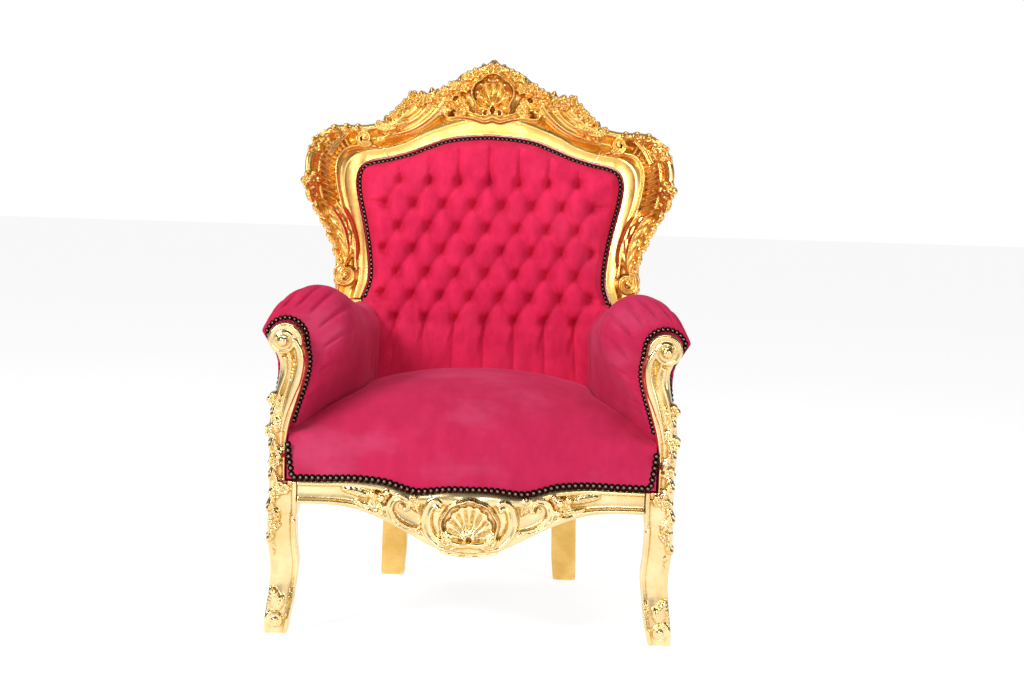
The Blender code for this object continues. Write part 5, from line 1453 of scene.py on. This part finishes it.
class Look:
    """A material and the nodes in it."""

    def __init__(self, name, **constants):
        self.material = bpy.data.materials.new(name)
        self.material.use_nodes = True
        self.tree = self.material.node_tree
        self.shader = self.tree.nodes["Principled BSDF"]
        for socket, value in constants.items():
            self.shader.inputs[socket.replace("_", " ")].default_value = value

    def node(self, kind, settings=None, inputs=None, output=0):
        made = self.tree.nodes.new(kind)
        for name, value in (settings or {}).items():
            if name == "stops":
                ramp = made.color_ramp
                for number, (place, colour) in enumerate(value):
                    stop = ramp.elements[number] if number < 2 else ramp.elements.new(place)
                    stop.position, stop.color = place, (*colour, 1)
            else:
                setattr(made, name, value)
        for socket, value in (inputs or {}).items():
            self.set(made.inputs[socket], value)
        return Value(self, made.outputs[output])

    def set(self, socket, value):
        if isinstance(value, Value):
            self.tree.links.new(value.socket, socket)
        elif isinstance(value, tuple) and len(value) == 3 and socket.type == "RGBA":
            socket.default_value = (*value, 1)
        else:
            socket.default_value = value

    def place(self):
        return self.node("ShaderNodeTexCoord", output="Object")

    def noise(self, scale, detail=3, stretch=(1, 1, 1), rough=0.5):
        place = self.node("ShaderNodeMapping", {}, {"Vector": self.place(), "Scale": stretch})
        return self.node("ShaderNodeTexNoise", {},
                         {"Vector": place, "Scale": scale, "Detail": detail, "Roughness": rough})

    def between(self, value, low, high):
        """0 up to low and 1 from high, with a smooth climb between."""
        return self.node("ShaderNodeMapRange", {"interpolation_type": "SMOOTHSTEP"},
                         {"Value": value, "From Min": low, "From Max": high})

    def blend(self, factor, a, b):
        return self.node("ShaderNodeMix", {"data_type": "RGBA"}, {0: factor, 6: a, 7: b}, output=2)

    def attribute(self, name):
        return self.node("ShaderNodeAttribute", {"attribute_name": name}, output="Fac")

    def bump(self, height, distance, strength=1.0, below=None):
        inputs = {"Height": height, "Distance": distance, "Strength": strength}
        if below:
            inputs["Normal"] = below
        return self.node("ShaderNodeBump", {}, inputs)

    def wear(self, **links):
        for socket, value in links.items():
            self.set(self.shader.inputs[socket.replace("_", " ")], value)
        return self.material


# %% [markdown]
# ## Gilding
#
# Gold leaf is laid on red-brown clay over gesso, then burnished with an agate. A highlight is painted on high places
# and edges, which turn a pale, nearly white gold. The hollows are painted darker and browner: partly because there
# the leaf is thin, a brown glaze has settled and the clay shows through, and partly as painted shade. The hollow
# attribute drives both, and soft noise gives the patches of more and less burnish.

# %% Gold
def gold_leaf(name, bright, warm, deep, groove_glaze_and_shade, shine):
    look = Look(name)
    hollow = look.attribute("hollow")
    # Hollows are blended to deep and grooves to the groove colour: partly thin leaf, glaze and clay, partly painted
    # shade
    recess = look.between(hollow, 0.57, 0.86)
    groove = look.between(hollow, 0.80, 1.0)
    # Edges are blended towards a pale, nearly white gold: a painted highlight
    edge = look.between(hollow, 0.40, 0.12)
    cloud = look.between(look.noise(11, 3), 0.35, 0.65)
    patch = look.between(look.noise(34, 4, rough=0.6), 0.40, 0.66)
    fine = look.noise(260, 3)
    leaf = look.blend(cloud * 0.6 + patch * 0.2, bright, warm)
    leaf = look.blend(edge * 0.5, leaf, (1.0, 0.84, 0.52))
    tinted = look.blend(recess * (0.55 + 0.35 * patch), leaf, deep)
    colour = look.blend(groove * 0.75, tinted, groove_glaze_and_shade)
    rough = shine + 0.08 * patch + 0.04 * fine + 0.20 * recess
    gesso = look.bump(look.noise(55, 4), 0.0007, 0.5)
    brushed = look.bump(look.noise(300, 2, stretch=(1, 1, 0.35)), 0.00012, 0.5, below=gesso)
    return look.wear(Base_Color=colour, Roughness=rough, Metallic=1 - 0.35 * groove, Normal=brushed)


GOLD = gold_leaf("gold_leaf", (0.93, 0.60, 0.19), (0.72, 0.41, 0.085), (0.33, 0.155, 0.022),
                 (0.08, 0.035, 0.006), 0.25)
# A paler copy of the gold for the front legs and rail: painted lighter as a painted reflection of the white room before
# them
GOLD_PAINTED_LIT = gold_leaf("gold_leaf_painted_lit", (0.95, 0.75, 0.41), (0.74, 0.51, 0.20), (0.34, 0.19, 0.045),
                      (0.09, 0.045, 0.010), 0.17)
PLAIN_GOLD = gold_leaf("plain_gold", (0.72, 0.47, 0.15), (0.56, 0.32, 0.08), (0.38, 0.20, 0.045),
                       (0.16, 0.07, 0.015), 0.36)

# %% [markdown]
# ## Velvet
#
# Velvet is a dense short pile. It is dark and rich seen along the pile and pale seen across it, which the sheen
# gives at grazing angles. Where hands have brushed the nap it lies another way, in soft pale patches, and that is
# painted with stretched noise. A very fine bump stands for the fibres.

# %% Velvet
def velvet(name, colour, shade, brushed, patches, sheen):
    look = Look(name, Sheen_Weight=sheen, Sheen_Roughness=0.42, Specular_IOR_Level=0.12)
    look.shader.inputs["Sheen Tint"].default_value = (*brushed, 1)
    nap = look.between(look.noise(5.5, 4, stretch=(1, 1, 1.7), rough=0.55), 0.46, 0.72)
    soft = look.noise(21, 4, stretch=(1.6, 1, 0.8), rough=0.6)
    fibre = look.noise(1500, 2)
    body = look.blend(look.between(soft, 0.30, 0.72) * 0.8, shade, colour)
    worn = look.blend(nap * patches, body, brushed)
    tone = look.blend(fibre * 0.16, worn, shade)
    weave = look.bump(look.noise(900, 3), 0.0006, 0.35)
    drape = look.bump(look.noise(60, 3), 0.0008, 0.30, below=weave)
    return look.wear(Base_Color=tone, Roughness=0.82 + 0.12 * fibre, Normal=drape)


BACK_VELVET = velvet("back_velvet", (0.76, 0.023, 0.094), (0.56, 0.013, 0.064), (0.86, 0.10, 0.20), 0.08, 0.20)
SEAT_VELVET = velvet("seat_velvet", (0.54, 0.020, 0.084), (0.45, 0.015, 0.064), (0.58, 0.10, 0.21), 0.34, 0.40)

# %% [markdown]
# ## Bronze nails and the lining
#
# The nails are dark antiqued bronze, and their crowns are painted a lighter brass as a painted highlight. Black dust
# cloth is tacked under the seat, so it gets a plain weave of threads that pass over and under one another.

# %% Bronze and lining
def bronze(name):
    look = Look(name, Metallic=1.0)
    crown = look.between(look.attribute("crown"), 0.78, 1.0)
    patch = look.noise(420, 3)
    # The top of each dome is painted a lighter brass: a painted highlight
    colour = look.blend(crown * (0.35 + 0.5 * patch), (0.014, 0.008, 0.006), (0.42, 0.31, 0.22))
    rough = 0.40 - 0.16 * crown + 0.10 * patch
    return look.wear(Base_Color=colour, Roughness=rough, Normal=look.bump(patch, 0.0001, 0.4))


def dust_cloth(name):
    look = Look(name, Roughness=0.9)
    threads = []
    for stretch in ((1, 0.02, 0.02), (0.02, 1, 0.02)):
        threads.append(look.noise(700, 2, stretch=stretch))
    weave = threads[0] * threads[1]
    colour = look.blend(look.between(weave, 0.1, 0.4), (0.012, 0.012, 0.013), (0.045, 0.044, 0.046))
    return look.wear(Base_Color=colour, Normal=look.bump(weave, 0.0006, 0.6))


BRONZE, LINING = bronze("bronze_nails"), dust_cloth("dust_cloth")


def finish_with(made, material):
    made.data.materials.clear()
    made.data.materials.append(material)


# %% [markdown]
# ## What each piece stands for
#
# Every piece rides on the chair's one body, names the CAD solids that it replaces, and names the material slot of
# the record that its finish comes from.

# %% Pieces
PIECES = (
    (crest, GOLD, "gilt_wood", ["crest_rail"]),
    (stile_right, GOLD, "gilt_wood", ["back_stile_right"]),
    (stile_left, GOLD, "gilt_wood", ["back_stile_left"]),
    (leg_right, GOLD_PAINTED_LIT, "gilt_wood", ["front_leg_right"]),
    (leg_left, GOLD_PAINTED_LIT, "gilt_wood", ["front_leg_left"]),
    (apron, GOLD_PAINTED_LIT, "gilt_wood", ["front_rail"]),
    *[(rail, PLAIN_GOLD, "gilt_wood", [node]) for node, rail in rails.items()],
    (back, BACK_VELVET, "back_velvet", ["back_cushion"]),
    (buttons, BACK_VELVET, "back_velvet", []),
    (seat, SEAT_VELVET, "seat_velvet", ["seat_cushion"]),
    (arm_right, SEAT_VELVET, "seat_velvet", ["arm_pad_right"]),
    (arm_left, SEAT_VELVET, "seat_velvet", ["arm_pad_left"]),
    (panel, SEAT_VELVET, "seat_velvet", ["back_panel"]),
    (back_nails, BRONZE, "dome_nails", ["back_nails"]),
    (seat_nails, BRONZE, "dome_nails", ["seat_nails"]),
    (arm_nails[1], BRONZE, "dome_nails", ["arm_nails_right"]),
    (arm_nails[-1], BRONZE, "dome_nails", ["arm_nails_left"]),
)
for piece, material, slot, nodes in PIECES:
    finish_with(piece, material)
    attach(piece, "root")
    if nodes:
        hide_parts(*nodes)
finish_with(frame["nodes"]["seat_base"], LINING)
print("faces in all:", sum(len(piece.data.polygons) for piece, *_ in PIECES))

# %% [markdown]
# ## Floor, light and camera
#
# The chair stands on a plain pale floor in a white studio. The room is bright before and behind the chair, and
# darker at its sides and overhead, in soft patches. Gold shows little but what it mirrors, so it needs both. A big
# soft light stands at the left, high up, a weaker one fills from the right, and two more stand in front and
# overhead. The camera's place and turn were fitted to the photograph.

# %% Studio
deselect()
bpy.ops.mesh.primitive_plane_add(size=40, location=(0, 0, 0))
floor = bpy.context.object
floor.name = "floor"
floor_look = Look("floor_white", Roughness=0.9)
floor_look.wear(Base_Color=(0.40, 0.40, 0.40))
floor_look.shader.inputs["Emission Color"].default_value = (1, 1, 1, 1)
floor_look.shader.inputs["Emission Strength"].default_value = 0.86
floor.data.materials.append(floor_look.material)
floor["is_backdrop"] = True

scene = bpy.context.scene
scene.view_settings.view_transform = "Standard"
scene.world = bpy.data.worlds.new("studio")


class Room(Look):
    """The world's nodes, made with the same method as a material's."""

    def __init__(self, world):
        world.use_nodes = True
        self.tree = world.node_tree
        direction = self.node("ShaderNodeTexCoord", output="Generated")
        ahead, height = (self.node("ShaderNodeSeparateXYZ", {}, {0: direction}, output=axis) for axis in ("Y", "Z"))
        ends = self.between(ahead.math("ABSOLUTE", ahead, 0), 0.30, 0.95)
        low = 1 - self.between(height, 0.05, 0.50)
        mottled = self.between(self.node("ShaderNodeTexNoise", {}, {"Vector": direction, "Scale": 2.2, "Detail": 1.0}),
                               0.42, 0.58)
        strength = (0.22 + 0.74 * ends) * (0.35 + 0.65 * low) * (0.55 + 0.45 * mottled)
        light = self.node("ShaderNodeBackground", {}, {0: (1.0, 1.0, 1.0, 1.0), 1: strength})
        white = self.node("ShaderNodeBackground", {}, {0: (1.0, 1.0, 1.0, 1.0), 1: 1.0})
        seen = self.node("ShaderNodeLightPath", output="Is Camera Ray")
        mixed = self.node("ShaderNodeMixShader", {}, {0: seen, 1: light, 2: white})
        self.set(self.tree.nodes["World Output"].inputs[0], mixed)


Room(scene.world)


def softbox(name, place, target, size, power, colour=(1, 1, 1)):
    light = bpy.data.lights.new(name, "AREA")
    light.shape, light.size, light.size_y, light.energy, light.color = "RECTANGLE", *size, power, colour
    made = bpy.data.objects.new(name, light)
    scene.collection.objects.link(made)
    made.location = place
    made.rotation_euler = (Vector(target) - Vector(place)).to_track_quat("-Z", "Y").to_euler()


softbox("key", (-2.4, -2.6, 2.7), (0, 0, 0.6), (1.4, 1.4), 120)
softbox("fill", (2.8, -2.4, 1.5), (0, 0, 0.6), (1.0, 1.8), 22)
softbox("front", (0.2, -4.6, 1.9), (0, 0, 0.5), (1.4, 0.8), 26)
softbox("top", (0.0, 0.4, 3.4), (0, 0, 0.4), (2.6, 1.4), 40)

YAW, PITCH, ROLL = (math.radians(v) for v in (-1.04, 5.48, 1.71))
FOCAL_PIXELS, IMAGE_WIDTH = 2000.0, 1024
camera_data = bpy.data.cameras.new("camera")
camera_data.sensor_width = 36
camera_data.lens = 36 * FOCAL_PIXELS / IMAGE_WIDTH
camera = bpy.data.objects.new("camera", camera_data)
scene.collection.objects.link(camera)
camera.location = (0.146, -4.006 - SHIFT, 0.992)
forward = Vector((math.sin(YAW) * math.cos(PITCH), math.cos(YAW) * math.cos(PITCH), -math.sin(PITCH)))
right = Vector((math.cos(YAW), -math.sin(YAW), 0))
up = right.cross(forward)
tilted_right = right * math.cos(ROLL) + up * math.sin(ROLL)
tilted_up = tilted_right.cross(forward)
turn = np.array([tilted_right, tilted_up, -forward]).T
camera.rotation_euler = Matrix(turn.tolist()).to_euler()
scene.camera = camera

# %% The visual box
low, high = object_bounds()
print("visual box", [round(v, 3) for v in (*low, *high)])
